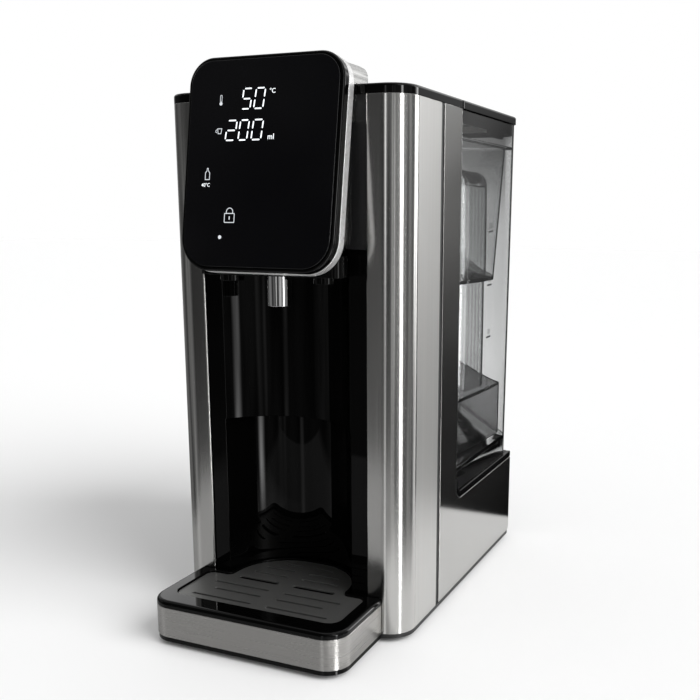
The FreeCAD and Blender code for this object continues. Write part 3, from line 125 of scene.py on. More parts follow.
def effect_group(name, inputs, outputs):
    """An empty shader group with named number inputs and outputs."""
    group = bpy.data.node_groups.new(name, "ShaderNodeTree")
    for label, value in inputs.items():
        socket = group.interface.new_socket(label, in_out="INPUT", socket_type="NodeSocketFloat")
        socket.default_value = value
    for label in outputs:
        group.interface.new_socket(label, in_out="OUTPUT", socket_type="NodeSocketFloat")
    return group, group.nodes.new("NodeGroupInput"), group.nodes.new("NodeGroupOutput")


def stretched_noise(group, entry, detail):
    """Noise on object coordinates, with its own scale along each axis."""
    place = node(group, "ShaderNodeTexCoord")
    axes = node(group, "ShaderNodeSeparateXYZ")
    link(group, (place, "Object"), (axes, 0))
    joined = node(group, "ShaderNodeCombineXYZ")
    for number, axis in enumerate("XYZ"):
        scaled = math_node(group, "MULTIPLY", (axes, axis), (entry, "Scale " + axis))
        link(group, scaled, (joined, number))
    noise = node(group, "ShaderNodeTexNoise", {"Scale": 1.0, "Detail": detail, "Roughness": 0.6})
    link(group, (joined, 0), (noise, "Vector"))
    return noise, 0


def brushed_grain():
    """Grain of a brushed sheet: fine lines with a slower drift in strength."""
    group, entry, leave = effect_group(
        "brushed_grain", {"Scale X": 1400.0, "Scale Y": 1400.0, "Scale Z": 6.0,
                          "Strength": 0.12}, ("Height", "Roughness"))
    lines = stretched_noise(group, entry, 3.0)
    drift = node(group, "ShaderNodeTexNoise", {"Scale": 35.0, "Detail": 2.0})
    place = node(group, "ShaderNodeTexCoord")
    link(group, (place, "Object"), (drift, "Vector"))
    mixed = math_node(group, "ADD", math_node(group, "MULTIPLY", lines, 0.8),
                      math_node(group, "MULTIPLY", (drift, 0), 0.2))
    link(group, lines, (leave, "Height"))
    centred = math_node(group, "SUBTRACT", mixed, 0.5)
    link(group, math_node(group, "MULTIPLY", centred, (entry, "Strength")), (leave, "Roughness"))
    return group


def moulded_texture():
    """Fine spark-eroded texture of moulded plastic or rubber."""
    group, entry, leave = effect_group(
        "moulded_texture", {"Scale": 2400.0, "Strength": 0.1}, ("Height", "Roughness", "Shade"))
    place = node(group, "ShaderNodeTexCoord")
    fine = node(group, "ShaderNodeTexNoise", {"Detail": 2.0})
    link(group, (place, "Object"), (fine, "Vector"))
    link(group, (entry, "Scale"), (fine, "Scale"))
    broad = node(group, "ShaderNodeTexNoise", {"Scale": 28.0, "Detail": 3.0})
    link(group, (place, "Object"), (broad, "Vector"))
    link(group, (fine, 0), (leave, "Height"))
    centred = math_node(group, "SUBTRACT", (broad, 0), 0.5)
    link(group, math_node(group, "MULTIPLY", centred, (entry, "Strength")), (leave, "Roughness"))
    link(group, (broad, 0), (leave, "Shade"))
    return group


def handling_marks():
    """Faint smears and dust that make a glossy surface less than perfect."""
    group, entry, leave = effect_group(
        "handling_marks", {"Scale": 30.0, "Strength": 0.05}, ("Roughness", "Wave"))
    place = node(group, "ShaderNodeTexCoord")
    smear = node(group, "ShaderNodeTexNoise", {"Detail": 4.0, "Roughness": 0.6, "Distortion": 0.6})
    link(group, (place, "Object"), (smear, "Vector"))
    link(group, (entry, "Scale"), (smear, "Scale"))
    mask = remap(group, (smear, 0), 0.45, 0.75, smooth=True)
    link(group, math_node(group, "MULTIPLY", mask, (entry, "Strength")), (leave, "Roughness"))
    wave = node(group, "ShaderNodeTexNoise", {"Scale": 14.0, "Detail": 1.0})
    link(group, (place, "Object"), (wave, "Vector"))
    link(group, (wave, 0), (leave, "Wave"))
    return group


GRAIN, MOULDED, MARKS = brushed_grain(), moulded_texture(), handling_marks()


def new_material(name, **sockets):
    """A material with a Principled shader whose plain sockets are set by name."""
    material = bpy.data.materials.new(name)
    material.use_nodes = True
    shader = material.node_tree.nodes["Principled BSDF"]
    for label, value in sockets.items():
        shader.inputs[label.replace("_", " ")].default_value = value
    return material, material.node_tree, shader


def use_group(tree, group, **values):
    """Place a shared effect with its own values."""
    placed = node(tree, "ShaderNodeGroup", node_tree=group)
    for label, value in values.items():
        placed.inputs[label.replace("_", " ")].default_value = value
    return placed


def add_bump(tree, shader, height, strength, distance):
    """Bump from a height into the shader's normal."""
    bump = node(tree, "ShaderNodeBump", {"Strength": strength, "Distance": distance})
    link(tree, height, (bump, "Height"))
    link(tree, (bump, 0), (shader, "Normal"))


def vary_roughness(tree, shader, base, source):
    """Base roughness plus a varying part."""
    total = math_node(tree, "ADD", source, base, clamp=True)
    link(tree, total, (shader, "Roughness"))


UPRIGHT, LEVEL = (1500.0, 1500.0, 5.0), (14.0, 14.0, 1700.0)
EVEN, COARSE = (900.0, 900.0, 900.0), (500.0, 500.0, 500.0)


def brushed_steel(name, colour, roughness, grain=UPRIGHT, strength=0.14, anisotropy=0.6,
                  bump=0.08, tone=0.10, metallic=1.0):
    """Brushed sheet steel with fine grain, and a sheen drawn out along the walls."""
    material, tree, shader = new_material(name, Base_Color=(*colour, 1), Metallic=metallic,
                                          Anisotropic=anisotropy, Anisotropic_Rotation=0.25)
    lines = use_group(tree, GRAIN, Scale_X=grain[0], Scale_Y=grain[1], Scale_Z=grain[2],
                      Strength=strength)
    vary_roughness(tree, shader, roughness, (lines, "Roughness"))
    tint = node(tree, "ShaderNodeMixRGB")
    tint.inputs[1].default_value = (*[c * (1 - tone) for c in colour], 1)
    tint.inputs[2].default_value = (*[min(1, c * (1 + tone)) for c in colour], 1)
    link(tree, (lines, "Height"), (tint, 0))
    link(tree, (tint, 0), (shader, "Base Color"))
    if anisotropy:
        tangent = node(tree, "ShaderNodeTangent", direction_type="RADIAL", axis="Z")
        link(tree, (tangent, 0), (shader, "Tangent"))
    add_bump(tree, shader, (lines, "Height"), bump, 0.00002)
    return material


# where the wraps' rounded corner ends behind their front, and what changes there
CORNER_END = (FRONT_Y + 16.0 * MM, FRONT_Y + 17.2 * MM)
CORNER_ROUGHNESS, SIDE_ROUGHNESS = 0.17, 0.38
CORNER_RELIEF, RELIEF_STRENGTH = 0.23, 0.35


def pillar_steel():
    """The wraps' steel: brushed round the corner, and a coarser satin along the flat side."""
    material = brushed_steel("pillar_steel", (0.62, 0.615, 0.60), 0.0)
    tree = material.node_tree
    shader = tree.nodes["Principled BSDF"]
    lines = next(n for n in tree.nodes if n.type == "GROUP")
    bump = next(n for n in tree.nodes if n.type == "BUMP")
    speckle = use_group(tree, GRAIN, Scale_X=1000.0, Scale_Y=1000.0, Scale_Z=1000.0,
                        Strength=0.3)
    place = node(tree, "ShaderNodeTexCoord")
    axes = node(tree, "ShaderNodeSeparateXYZ")
    link(tree, (place, "Object"), (axes, 0))
    side = remap(tree, (axes, "Y"), *CORNER_END)
    base = remap(tree, side, 0.0, 1.0, CORNER_ROUGHNESS, SIDE_ROUGHNESS)
    link(tree, math_node(tree, "ADD", base, (lines, "Roughness"), clamp=True),
         (shader, "Roughness"))
    height = node(tree, "ShaderNodeMix", data_type="FLOAT")
    link(tree, side, (height, 0))
    link(tree, math_node(tree, "MULTIPLY", (lines, "Height"), CORNER_RELIEF), (height, 2))
    link(tree, (speckle, "Height"), (height, 3))
    link(tree, (height, 0), (bump, "Height"))
    bump.inputs["Strength"].default_value = RELIEF_STRENGTH
    return material


def glossy_plastic(name, colour, roughness, marks=0.06, wave=0.04, **sockets):
    """A gloss surface with faint smears and a slight moulded waviness."""
    material, tree, shader = new_material(name, Base_Color=(*colour, 1), **sockets)
    smears = use_group(tree, MARKS, Scale=38.0, Strength=marks)
    vary_roughness(tree, shader, roughness, (smears, "Roughness"))
    add_bump(tree, shader, (smears, "Wave"), wave, 0.0006)
    return material


def moulded_plastic(name, colour, roughness, bump=0.25, scale=2400.0, shade=0.25):
    """Matt moulded plastic or rubber with a fine texture and slight changes of shade."""
    material, tree, shader = new_material(name)
    texture = use_group(tree, MOULDED, Scale=scale, Strength=0.15)
    vary_roughness(tree, shader, roughness, (texture, "Roughness"))
    tint = node(tree, "ShaderNodeMixRGB")
    tint.inputs[1].default_value = (*[c * (1 - shade) for c in colour], 1)
    tint.inputs[2].default_value = (*[min(1, c * (1 + shade)) for c in colour], 1)
    link(tree, (texture, "Shade"), (tint, 0))
    link(tree, (tint, 0), (shader, "Base Color"))
    add_bump(tree, shader, (texture, "Height"), bump, 0.00004)
    return material


RIB_PITCH = 2 * math.pi / (7 * MM)


def clear_plastic(name, colour, roughness, ior, marks=0.04, wave=0.1, edge=0.45,
                  coat=0.0, flutes=0.0):
    """Clear moulded plastic with faint marks and flow waviness; its colour is darkened where the
    surface is seen edge-on, a painted shade for dark rims.
    """
    material, tree, shader = new_material(name, Base_Color=(*colour, 1), Transmission_Weight=1.0,
                                          IOR=ior, Coat_Weight=coat, Coat_Roughness=0.03)
    smears = use_group(tree, MARKS, Scale=24.0, Strength=marks)
    vary_roughness(tree, shader, roughness, (smears, "Roughness"))
    height = (smears, "Wave")
    if flutes:
        place = node(tree, "ShaderNodeTexCoord")
        axes = node(tree, "ShaderNodeSeparateXYZ")
        link(tree, (place, "Object"), (axes, 0))
        across = math_node(tree, "ADD", (axes, "X"), (axes, "Y"))
        ribs = math_node(tree, "SINE", math_node(tree, "MULTIPLY", across, RIB_PITCH))
        height = math_node(tree, "ADD", height, math_node(tree, "MULTIPLY", ribs, flutes))
    add_bump(tree, shader, height, wave, 0.0008)
    # painted shade: where the surface turns edge-on to the view, the colour falls to its edge
    # share, drawing dark rims
    rim = node(tree, "ShaderNodeLayerWeight", {"Blend": 0.5})
    tint = node(tree, "ShaderNodeMixRGB")
    tint.inputs[1].default_value = (*colour, 1)
    tint.inputs[2].default_value = (*[c * edge for c in colour], 1)
    link(tree, remap(tree, (rim, "Facing"), 0.62, 1.0, smooth=True), (tint, 0))
    link(tree, (tint, 0), (shader, "Base Color"))
    return material


def glowing(name, colour, strength):
    """Lit marks of the display, slightly uneven as diffused by their mask."""
    material, tree, shader = new_material(name, Base_Color=(0.02, 0.02, 0.02, 1), Roughness=0.3,
                                          Emission_Strength=strength)
    texture = use_group(tree, MOULDED, Scale=900.0, Strength=0.1)
    tone = ramp(tree, (texture, "Shade"), [(0.3, tuple(c * 0.92 for c in colour)), (0.7, colour)])
    link(tree, tone, (shader, "Emission Color"))
    return material


PILLAR_STEEL = pillar_steel()
BAND_STEEL = brushed_steel("tray_band_steel", (0.50, 0.49, 0.475), 0.3, grain=LEVEL,
                           bump=0.25, strength=0.3, tone=0.16)
RING_STEEL = brushed_steel("bright_ring_steel", (0.85, 0.84, 0.83), 0.36, grain=COARSE,
                           bump=0.5, strength=0.5, tone=0.35, metallic=0.7)
SHELL_STEEL = brushed_steel("dark_satin_steel", (0.50, 0.50, 0.49), 0.2, anisotropy=0.3)
GRATE_STEEL = brushed_steel("grate_steel", (0.19, 0.19, 0.185), 0.5, anisotropy=0.0,
                            grain=EVEN, metallic=0.8)
PANEL_STEEL = brushed_steel("polished_side_steel", (0.62, 0.615, 0.60), 0.09, strength=0.05,
                            anisotropy=0.4, bump=0.02, tone=0.05)
GLOSS_BLACK = glossy_plastic("gloss_black", (0.001, 0.001, 0.001), 0.015, marks=0.02,
                             wave=0.02, IOR=1.3)
LINER_BLACK = glossy_plastic("liner_black", (0.001, 0.001, 0.001), 0.005, marks=0.01,
                             wave=0.01, Specular_IOR_Level=0.15)
GLASS_BLACK = glossy_plastic("black_glass", (0.002, 0.002, 0.0025), 0.02, marks=0.03, wave=0.0)
MATT_BLACK = moulded_plastic("matt_black", (0.012, 0.012, 0.0125), 0.45)
RUBBER = moulded_plastic("black_rubber", (0.012, 0.012, 0.012), 0.7, scale=1500.0)
FRAME_GREY = moulded_plastic("frame_grey", (0.10, 0.10, 0.105), 0.5)
CHROME = glossy_plastic("spout_chrome", (0.80, 0.80, 0.80), 0.05, marks=0.05, wave=0.02,
                        Metallic=1.0)
# edge: share of the colour left where a clear part is seen edge-on, a painted shade on its rims
CLEAR = clear_plastic("clear_tank", (0.97, 0.975, 0.975), 0.0, 1.45, edge=0.35)
CLEAR_INNER = clear_plastic("clear_basket", (0.95, 0.955, 0.955), 0.0, 1.4, coat=0.5, edge=0.3)
FROSTED = clear_plastic("frosted_cartridge", (0.95, 0.955, 0.955), 0.05, 1.35, coat=1.0,
                        edge=0.45, flutes=2.5)
SMOKED = clear_plastic("smoked_strainer", (0.74, 0.74, 0.745), 0.08, 1.35, coat=1.0, edge=0.5)
SILICONE = moulded_plastic("white_silicone", (0.70, 0.70, 0.68), 0.55, scale=1200.0)
HEATER_METAL = brushed_steel("heater_aluminium", (0.65, 0.65, 0.66), 0.35, anisotropy=0.0)
BOARD_GREEN = moulded_plastic("solder_mask", (0.02, 0.11, 0.045), 0.35, scale=900.0)
PART_BLACK = moulded_plastic("component_black", (0.03, 0.03, 0.032), 0.45)
BRASS = brushed_steel("turned_brass", (0.72, 0.55, 0.26), 0.3, anisotropy=0.0)
SCREW_STEEL = brushed_steel("screw_steel", (0.5, 0.5, 0.5), 0.3, anisotropy=0.0)
LIGHT_MARKS = glowing("display_light", (0.93, 0.97, 1.0), 1.6)
DIM_MARKS = glowing("display_dim_light", (0.80, 0.84, 0.88), 1.0)
PRINT_BLACK = moulded_plastic("printed_black", (0.01, 0.01, 0.01), 0.5)
CLEAR_FINISHES = (CLEAR, CLEAR_INNER, FROSTED, SMOKED)


# ------------------------------------------------------------------ CAD parts and their finishes

def paint(name, material):
    """Give a CAD node its finish, with its shape as it is."""
    data = frame["nodes"][name].data
    data.materials.clear()
    data.materials.append(material)


def body_holding(name):
    """The body that a CAD node belongs to."""
    for body, members in frame["record"]["behaviour"]["bodies"].items():
        if name in members:
            return body
    raise ValueError(name)


def finish_part(name, material, edge=0.25, smooth=38.0):
    """A refined copy of a CAD part: merged, smooth-shaded, with lightly broken edges."""
    data = frame["nodes"][name].data.copy()
    data.name = name + "_finish"
    form = bmesh.new()
    form.from_mesh(data)
    bmesh.ops.remove_doubles(form, verts=form.verts, dist=2e-6)
    bmesh.ops.dissolve_limit(form, angle_limit=math.radians(0.6), verts=form.verts,
                             edges=form.edges, delimit=set())
    form.to_mesh(data)
    form.free()
    data.materials.clear()
    data.materials.append(material)
    for polygon in data.polygons:
        polygon.use_smooth = True
        polygon.material_index = 0
    data.set_sharp_from_angle(angle=math.radians(smooth))
    piece = bpy.data.objects.new(name + "_finish", data)
    scene.collection.objects.link(piece)
    if edge:
        bevel = piece.modifiers.new("broken edge", "BEVEL")
        bevel.width = edge * MM
        bevel.segments = 2
        bevel.limit_method = "ANGLE"
        bevel.angle_limit = math.radians(50)
        bevel.use_clamp_overlap = True
        bevel.harden_normals = material in CLEAR_FINISHES
    if material not in CLEAR_FINISHES:
        shading = piece.modifiers.new("even shading", "WEIGHTED_NORMAL")
        shading.weight = 60
        shading.keep_sharp = True
    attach(piece, body_holding(name))
    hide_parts(name)
    return piece


FINISHED = {
    "left_front_wrap": (PILLAR_STEEL, 0.2), "right_front_wrap": (PILLAR_STEEL, 0.2),
    "left_side_panel": (PANEL_STEEL, 0.2), "right_side_panel": (PANEL_STEEL, 0.2),
    "left_sill_trim": (GLOSS_BLACK, 0.35), "right_sill_trim": (GLOSS_BLACK, 0.35),
    "top_cover": (GLOSS_BLACK, 0.2), "recess_liner": (LINER_BLACK, 0.3),
    "tank_lid": (GLOSS_BLACK, 0.25), "drip_tray": (GLOSS_BLACK, 0.2),
    "tray_band": (BAND_STEEL, 0.15), "grate": (GRATE_STEEL, 0.2), "head_ring": (RING_STEEL, 0.3),
    "head_bezel": (GLOSS_BLACK, 0.2), "display_glass": (GLASS_BLACK, 0.2),
    "head_shell": (SHELL_STEEL, 0.3), "underside_cover": (GLOSS_BLACK, 0.4),
    "nozzle": (CHROME, 0.3), "tank_shell": (CLEAR, 0.3), "tank_insert": (CLEAR_INNER, 0.3),
    "filter_cartridge": (FROSTED, 0.3), "drop_tube": (FROSTED, 0.3),
    "outlet_strainer": (SMOKED, 0.3), "tank_seat": (MATT_BLACK, 0.2),
    "base_pan": (MATT_BLACK, 0.3), "feet": (RUBBER, 0.4), "tray_feet": (RUBBER, 0.4),
    "left_seam_trim": (MATT_BLACK, 0.0), "right_seam_trim": (MATT_BLACK, 0.0),
    "chassis": (MATT_BLACK, 0.2), "rear_panel": (MATT_BLACK, 0.25), "cord_gland": (RUBBER, 0.2),
    "left_pillar_core": (MATT_BLACK, 0.0), "right_pillar_core": (MATT_BLACK, 0.0),
    "lid_seal": (SILICONE, 0.2), "valve_body": (FROSTED, 0.2), "head_screws": (SCREW_STEEL, 0.2),
    "rear_screws": (SCREW_STEEL, 0.2), "base_screws": (SCREW_STEEL, 0.2),
    "valve_plunger": (FROSTED, 0.2), "heater": (HEATER_METAL, 0.3),
}
PAINTED = {
    "head_frame": MATT_BLACK, "display_board": BOARD_GREEN, "display_module": PART_BLACK,
    "power_board": BOARD_GREEN, "board_parts": PART_BLACK, "standoffs": BRASS,
    "heater_clamps": SCREW_STEEL, "thermal_cutouts": HEATER_METAL, "pump": FRAME_GREY,
    "pump_mounts": RUBBER, "flow_meter": FRAME_GREY, "valve_stem": FRAME_GREY,
    "seat_seal": SILICONE, "valve_seal": SILICONE, "nozzle_seal": SILICONE,
    "outlet_hose": SILICONE, "supply_hoses": SILICONE, "suction_hose": SILICONE,
}
for part, (finish, edge) in FINISHED.items():
    finish_part(part, finish, edge)
for part, finish in PAINTED.items():
    paint(part, finish)


def make_spring():
    """The valve spring, finished, with a mesh of its own; here it is not made to shorten as the
    plunger rises.
    """
    spring = finish_part("valve_spring", SCREW_STEEL, 0.0)
    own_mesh(spring)


make_spring()


# ------------------------------------------------------------------ display marks

def face_matrix():
    """Turns marks drawn in the face's plane (x, height) in millimetres into place."""
    lean = Matrix.Rotation(-HEAD_TILT, 4, "X")
    upright = Matrix(((MM, 0, 0, 0), (0, 0, -MM, 0), (0, MM, 0, 0), (0, 0, 0, 1)))
    return Matrix.Translation(FACE_FOOT) @ lean @ upright


def plate(form, outline, low, high):
    """A flat plate in the drawing plane, from an outline, with a thickness."""
    bottom = [form.verts.new((x, y, low)) for x, y in outline]
    top = [form.verts.new((x, y, high)) for x, y in outline]
    count = len(outline)
    form.faces.new(reversed(bottom))
    form.faces.new(top)
    for i in range(count):
        j = (i + 1) % count
        form.faces.new((bottom[i], bottom[j], top[j], top[i]))


def ring_plate(form, outer, inner, low, high):
    """A flat ring between two outlines with the same number of points."""
    loops = [[form.verts.new((x, y, z)) for x, y in outline]
             for outline, z in ((outer, low), (outer, high), (inner, low), (inner, high))]
    count = len(outer)
    for i in range(count):
        j = (i + 1) % count
        outer_low, outer_high, inner_low, inner_high = loops
        form.faces.new((outer_low[i], outer_low[j], outer_high[j], outer_high[i]))
        form.faces.new((inner_low[j], inner_low[i], inner_high[i], inner_high[j]))
        form.faces.new((outer_high[i], outer_high[j], inner_high[j], inner_high[i]))
        form.faces.new((outer_low[j], outer_low[i], inner_low[i], inner_low[j]))


MARK_LOW, MARK_HIGH = 0.02, 0.06
SEGMENTS = {"0": "abcdef", "2": "abged", "5": "afgcd"}


def segment_bar(start, end, half):
    """A bar with pointed ends between two points."""
    along = (Vector(end) - Vector(start)).normalized()
    side = Vector((-along.y, along.x)) * half
    tip = along * half
    a, b = Vector(start), Vector(end)
    return [tuple(p) for p in (a, a + tip - side, b - tip - side, b, b - tip + side,
                               a + tip + side)]


def draw_digit(form, digit, left, foot, width, height, half, slant=0.11):
    """One seven-segment digit, leaning to the right."""
    gap = half * 1.55
    corners = {"tl": (0, height), "tr": (width, height), "ml": (0, height / 2),
               "mr": (width, height / 2), "bl": (0, 0), "br": (width, 0)}
    runs = {"a": ("tl", "tr"), "b": ("mr", "tr"), "c": ("br", "mr"), "d": ("bl", "br"),
            "e": ("bl", "ml"), "f": ("ml", "tl"), "g": ("ml", "mr")}
    for name in SEGMENTS[digit]:
        start, end = (Vector(corners[key]) for key in runs[name])
        along = (end - start).normalized()
        outline = segment_bar(start + along * gap, end - along * gap, half)
        slanted = [(left + x + y * slant, foot + y) for x, y in outline]
        plate(form, slanted, MARK_LOW, MARK_HIGH)


def round_outline(cx, cy, rx, ry, corner, steps=5):
    """A rectangle with rounded corners, as points."""
    points = []
    for quarter, (sx, sy) in enumerate(((1, 1), (-1, 1), (-1, -1), (1, -1))):
        for step in range(steps + 1):
            angle = math.radians(90 * (quarter + step / steps))
            points.append((cx + sx * (rx - corner) + corner * math.cos(angle),
                           cy + sy * (ry - corner) + corner * math.sin(angle)))
    return points


def frame_mark(form, cx, cy, rx, ry, corner, thick):
    """An outlined rounded rectangle."""
    ring_plate(form, round_outline(cx, cy, rx, ry, corner),
               round_outline(cx, cy, rx - thick, ry - thick, max(corner - thick, 0.05)),
               MARK_LOW, MARK_HIGH)


def arc_mark(form, cx, cy, radius, thick, start, end, steps=14):
    """A stroke along an arc, from one angle to another in degrees."""
    angles = [math.radians(start + (end - start) * i / steps) for i in range(steps + 1)]
    outer = [(cx + radius * math.cos(a), cy + radius * math.sin(a)) for a in angles]
    inner = [(cx + (radius - thick) * math.cos(a), cy + (radius - thick) * math.sin(a))
             for a in reversed(angles)]
    plate(form, outer + inner, MARK_LOW, MARK_HIGH)


def stroke(form, start, end, thick):
    """A straight stroke with square ends."""
    along = (Vector(end) - Vector(start)).normalized()
    side = Vector((-along.y, along.x)) * thick / 2
    a, b = Vector(start), Vector(end)
    plate(form, [tuple(p) for p in (a - side, b - side, b + side, a + side)], MARK_LOW, MARK_HIGH)


def add_text(form, words, left, foot, size):
    """Small unit lettering, set in the drawing plane."""
    curve = bpy.data.curves.new("lettering", "FONT")
    curve.body = words
    curve.size = size
    curve.extrude = (MARK_HIGH - MARK_LOW) / 2
    holder = bpy.data.objects.new("lettering", curve)
    scene.collection.objects.link(holder)
    bpy.context.view_layer.update()
    data = bpy.data.meshes.new_from_object(holder.evaluated_get(
        bpy.context.evaluated_depsgraph_get()))
    data.transform(Matrix.Translation((left, foot, (MARK_LOW + MARK_HIGH) / 2)))
    form.from_mesh(data)
    bpy.data.objects.remove(holder)
    bpy.data.meshes.remove(data)


def as_piece(name, form, matrix, material, body):
    """Turn drawn marks into a piece in its place."""
    bmesh.ops.remove_doubles(form, verts=form.verts, dist=1e-5)
    bmesh.ops.recalc_face_normals(form, faces=form.faces)
    data = bpy.data.meshes.new(name)
    form.to_mesh(data)
    form.free()
    data.transform(matrix)
    data.materials.append(material)
    piece = bpy.data.objects.new(name, data)
    scene.collection.objects.link(piece)
    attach(piece, body)
    return piece


def make_display():
    """Lit digits, units and icons on the glass."""
    bright = bmesh.new()
    for digit, left, width in (("5", -13.2, 5.6), ("0", -5.2, 5.8)):
        draw_digit(bright, digit, left, 89.2, width, 11.0, 0.38)
    for digit, left, width in (("2", -22.6, 6.1), ("0", -14.2, 5.6), ("0", -5.8, 6.2)):
        draw_digit(bright, digit, left, 72.3, width, 10.8, 0.38)
    add_text(bright, "°C", 4.3, 97.2, 3.6)
    add_text(bright, "ml", 4.6, 72.3, 4.4)
    add_text(bright, "40°C", -36.7, 46.9, 2.7)
    as_piece("display_digits", bright, face_matrix(), LIGHT_MARKS, "housing")
    icons = bmesh.new()
    # thermometer
    frame_mark(icons, -26.6, 95.4, 0.65, 2.0, 0.6, 0.28)
    plate(icons, round_outline(-26.6, 92.6, 0.95, 0.95, 0.9), MARK_LOW, MARK_HIGH)
    # cup with its handle
    ring_plate(icons, [(-28.1, 79.0), (-27.6, 75.9), (-25.4, 75.9), (-24.9, 79.0)],
               [(-27.65, 78.6), (-27.25, 76.3), (-25.75, 76.3), (-25.35, 78.6)],
               MARK_LOW, MARK_HIGH)
    arc_mark(icons, -28.2, 77.5, 1.0, 0.35, 90, 270)
    # bottle
    ring_plate(icons, [(-34.6, 50.6), (-31.4, 50.6), (-31.4, 54.6), (-32.4, 55.8), (-32.5, 57.2),
                       (-33.5, 57.2), (-33.6, 55.8), (-34.6, 54.6)],
               [(-34.2, 51.0), (-31.8, 51.0), (-31.8, 54.4), (-32.7, 55.6), (-32.8, 56.8),
                (-33.2, 56.8), (-33.3, 55.6), (-34.2, 54.4)], MARK_LOW, MARK_HIGH)
    # padlock
    frame_mark(icons, -17.0, 29.5, 3.4, 2.7, 0.5, 0.42)
    arc_mark(icons, -17.0, 32.9, 2.3, 0.42, 0, 180)
    for side in (-1, 1):
        stroke(icons, (-17.0 + side * 2.09, 31.9), (-17.0 + side * 2.09, 33.1), 0.42)
    stroke(icons, (-17.0, 28.6), (-17.0, 30.4), 0.6)
    # status light
    plate(icons, round_outline(-22.6, 18.8, 1.05, 1.05, 1.0), MARK_LOW, MARK_HIGH)
    as_piece("display_icons", icons, face_matrix(), DIM_MARKS, "housing")


# ------------------------------------------------------------------ level marks on the tank

LEVEL_PITCH = 36.8


def level_tick_tree():
    """Geometry Nodes: a column of short printed bars."""
    tree = bpy.data.node_groups.new("level_ticks", "GeometryNodeTree")
    tree.interface.new_socket("Geometry", in_out="OUTPUT", socket_type="NodeSocketGeometry")
    defaults = {"Count": ("NodeSocketInt", 4), "Length": ("NodeSocketFloat", 0.01),
                "Thickness": ("NodeSocketFloat", 0.0012), "Depth": ("NodeSocketFloat", 0.00006),
                "Pitch": ("NodeSocketFloat", LEVEL_PITCH * MM)}
    for label, (kind, value) in defaults.items():
        tree.interface.new_socket(label, in_out="INPUT", socket_type=kind).default_value = value
    tree.interface.new_socket("Material", in_out="INPUT", socket_type="NodeSocketMaterial")
    entry, leave = tree.nodes.new("NodeGroupInput"), tree.nodes.new("NodeGroupOutput")
    size = node(tree, "ShaderNodeCombineXYZ")
    for number, label in enumerate(("Depth", "Length", "Thickness")):
        link(tree, (entry, label), (size, number))
    bar = node(tree, "GeometryNodeMeshCube")
    link(tree, (size, 0), (bar, "Size"))
    step = node(tree, "ShaderNodeCombineXYZ")
    link(tree, (entry, "Pitch"), (step, 2))
    column = node(tree, "GeometryNodeMeshLine")
    link(tree, (entry, "Count"), (column, "Count"))
    link(tree, (step, 0), (column, "Offset"))
    placed = node(tree, "GeometryNodeInstanceOnPoints")
    link(tree, (column, 0), (placed, "Points"))
    link(tree, (bar, 0), (placed, "Instance"))
    real = node(tree, "GeometryNodeRealizeInstances")
    link(tree, (placed, 0), (real, 0))
    coloured = node(tree, "GeometryNodeSetMaterial")
    link(tree, (real, 0), (coloured, 0))
    link(tree, (entry, "Material"), (coloured, "Material"))
    link(tree, (coloured, 0), (leave, 0))
    return tree


def make_level_marks():
    """Printed level bars and their numbers on the tank's right wall."""
    tree = level_tick_tree()
    holder = bpy.data.objects.new("level_bars", bpy.data.meshes.new("level_bars"))
    scene.collection.objects.link(holder)
    bars = holder.modifiers.new("bars", "NODES")
    bars.node_group = tree
    for item in tree.interface.items_tree:
        if item.in_out == "INPUT" and item.name == "Material":
            bars[item.identifier] = PRINT_BLACK
    data = bpy.data.meshes.new_from_object(holder.evaluated_get(
        bpy.context.evaluated_depsgraph_get()))
    bpy.data.objects.remove(holder)
    wall = TANK_HIGH.x + 0.00005
    low = Vector((wall, FRONT_Y + 152 * MM, BASE_Z + 128.5 * MM))
    data.transform(Matrix.Translation(low))
    piece = bpy.data.objects.new("level_bars", data)
    scene.collection.objects.link(piece)
    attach(piece, "tank_body")
    numbers = bmesh.new()
    for step, words in enumerate(("0.5", "1.0", "1.5", "2.0")):
        add_text(numbers, words, -3.6, 2.2 + step * LEVEL_PITCH, 5.2)
    turn = Matrix(((0, 0, MM, 0), (MM, 0, 0, 0), (0, MM, 0, 0), (0, 0, 0, 1)))
    as_piece("level_numbers", numbers, Matrix.Translation(low) @ turn, PRINT_BLACK, "tank_body")


make_display()
make_level_marks()


# ------------------------------------------------------------------ stage, light and camera

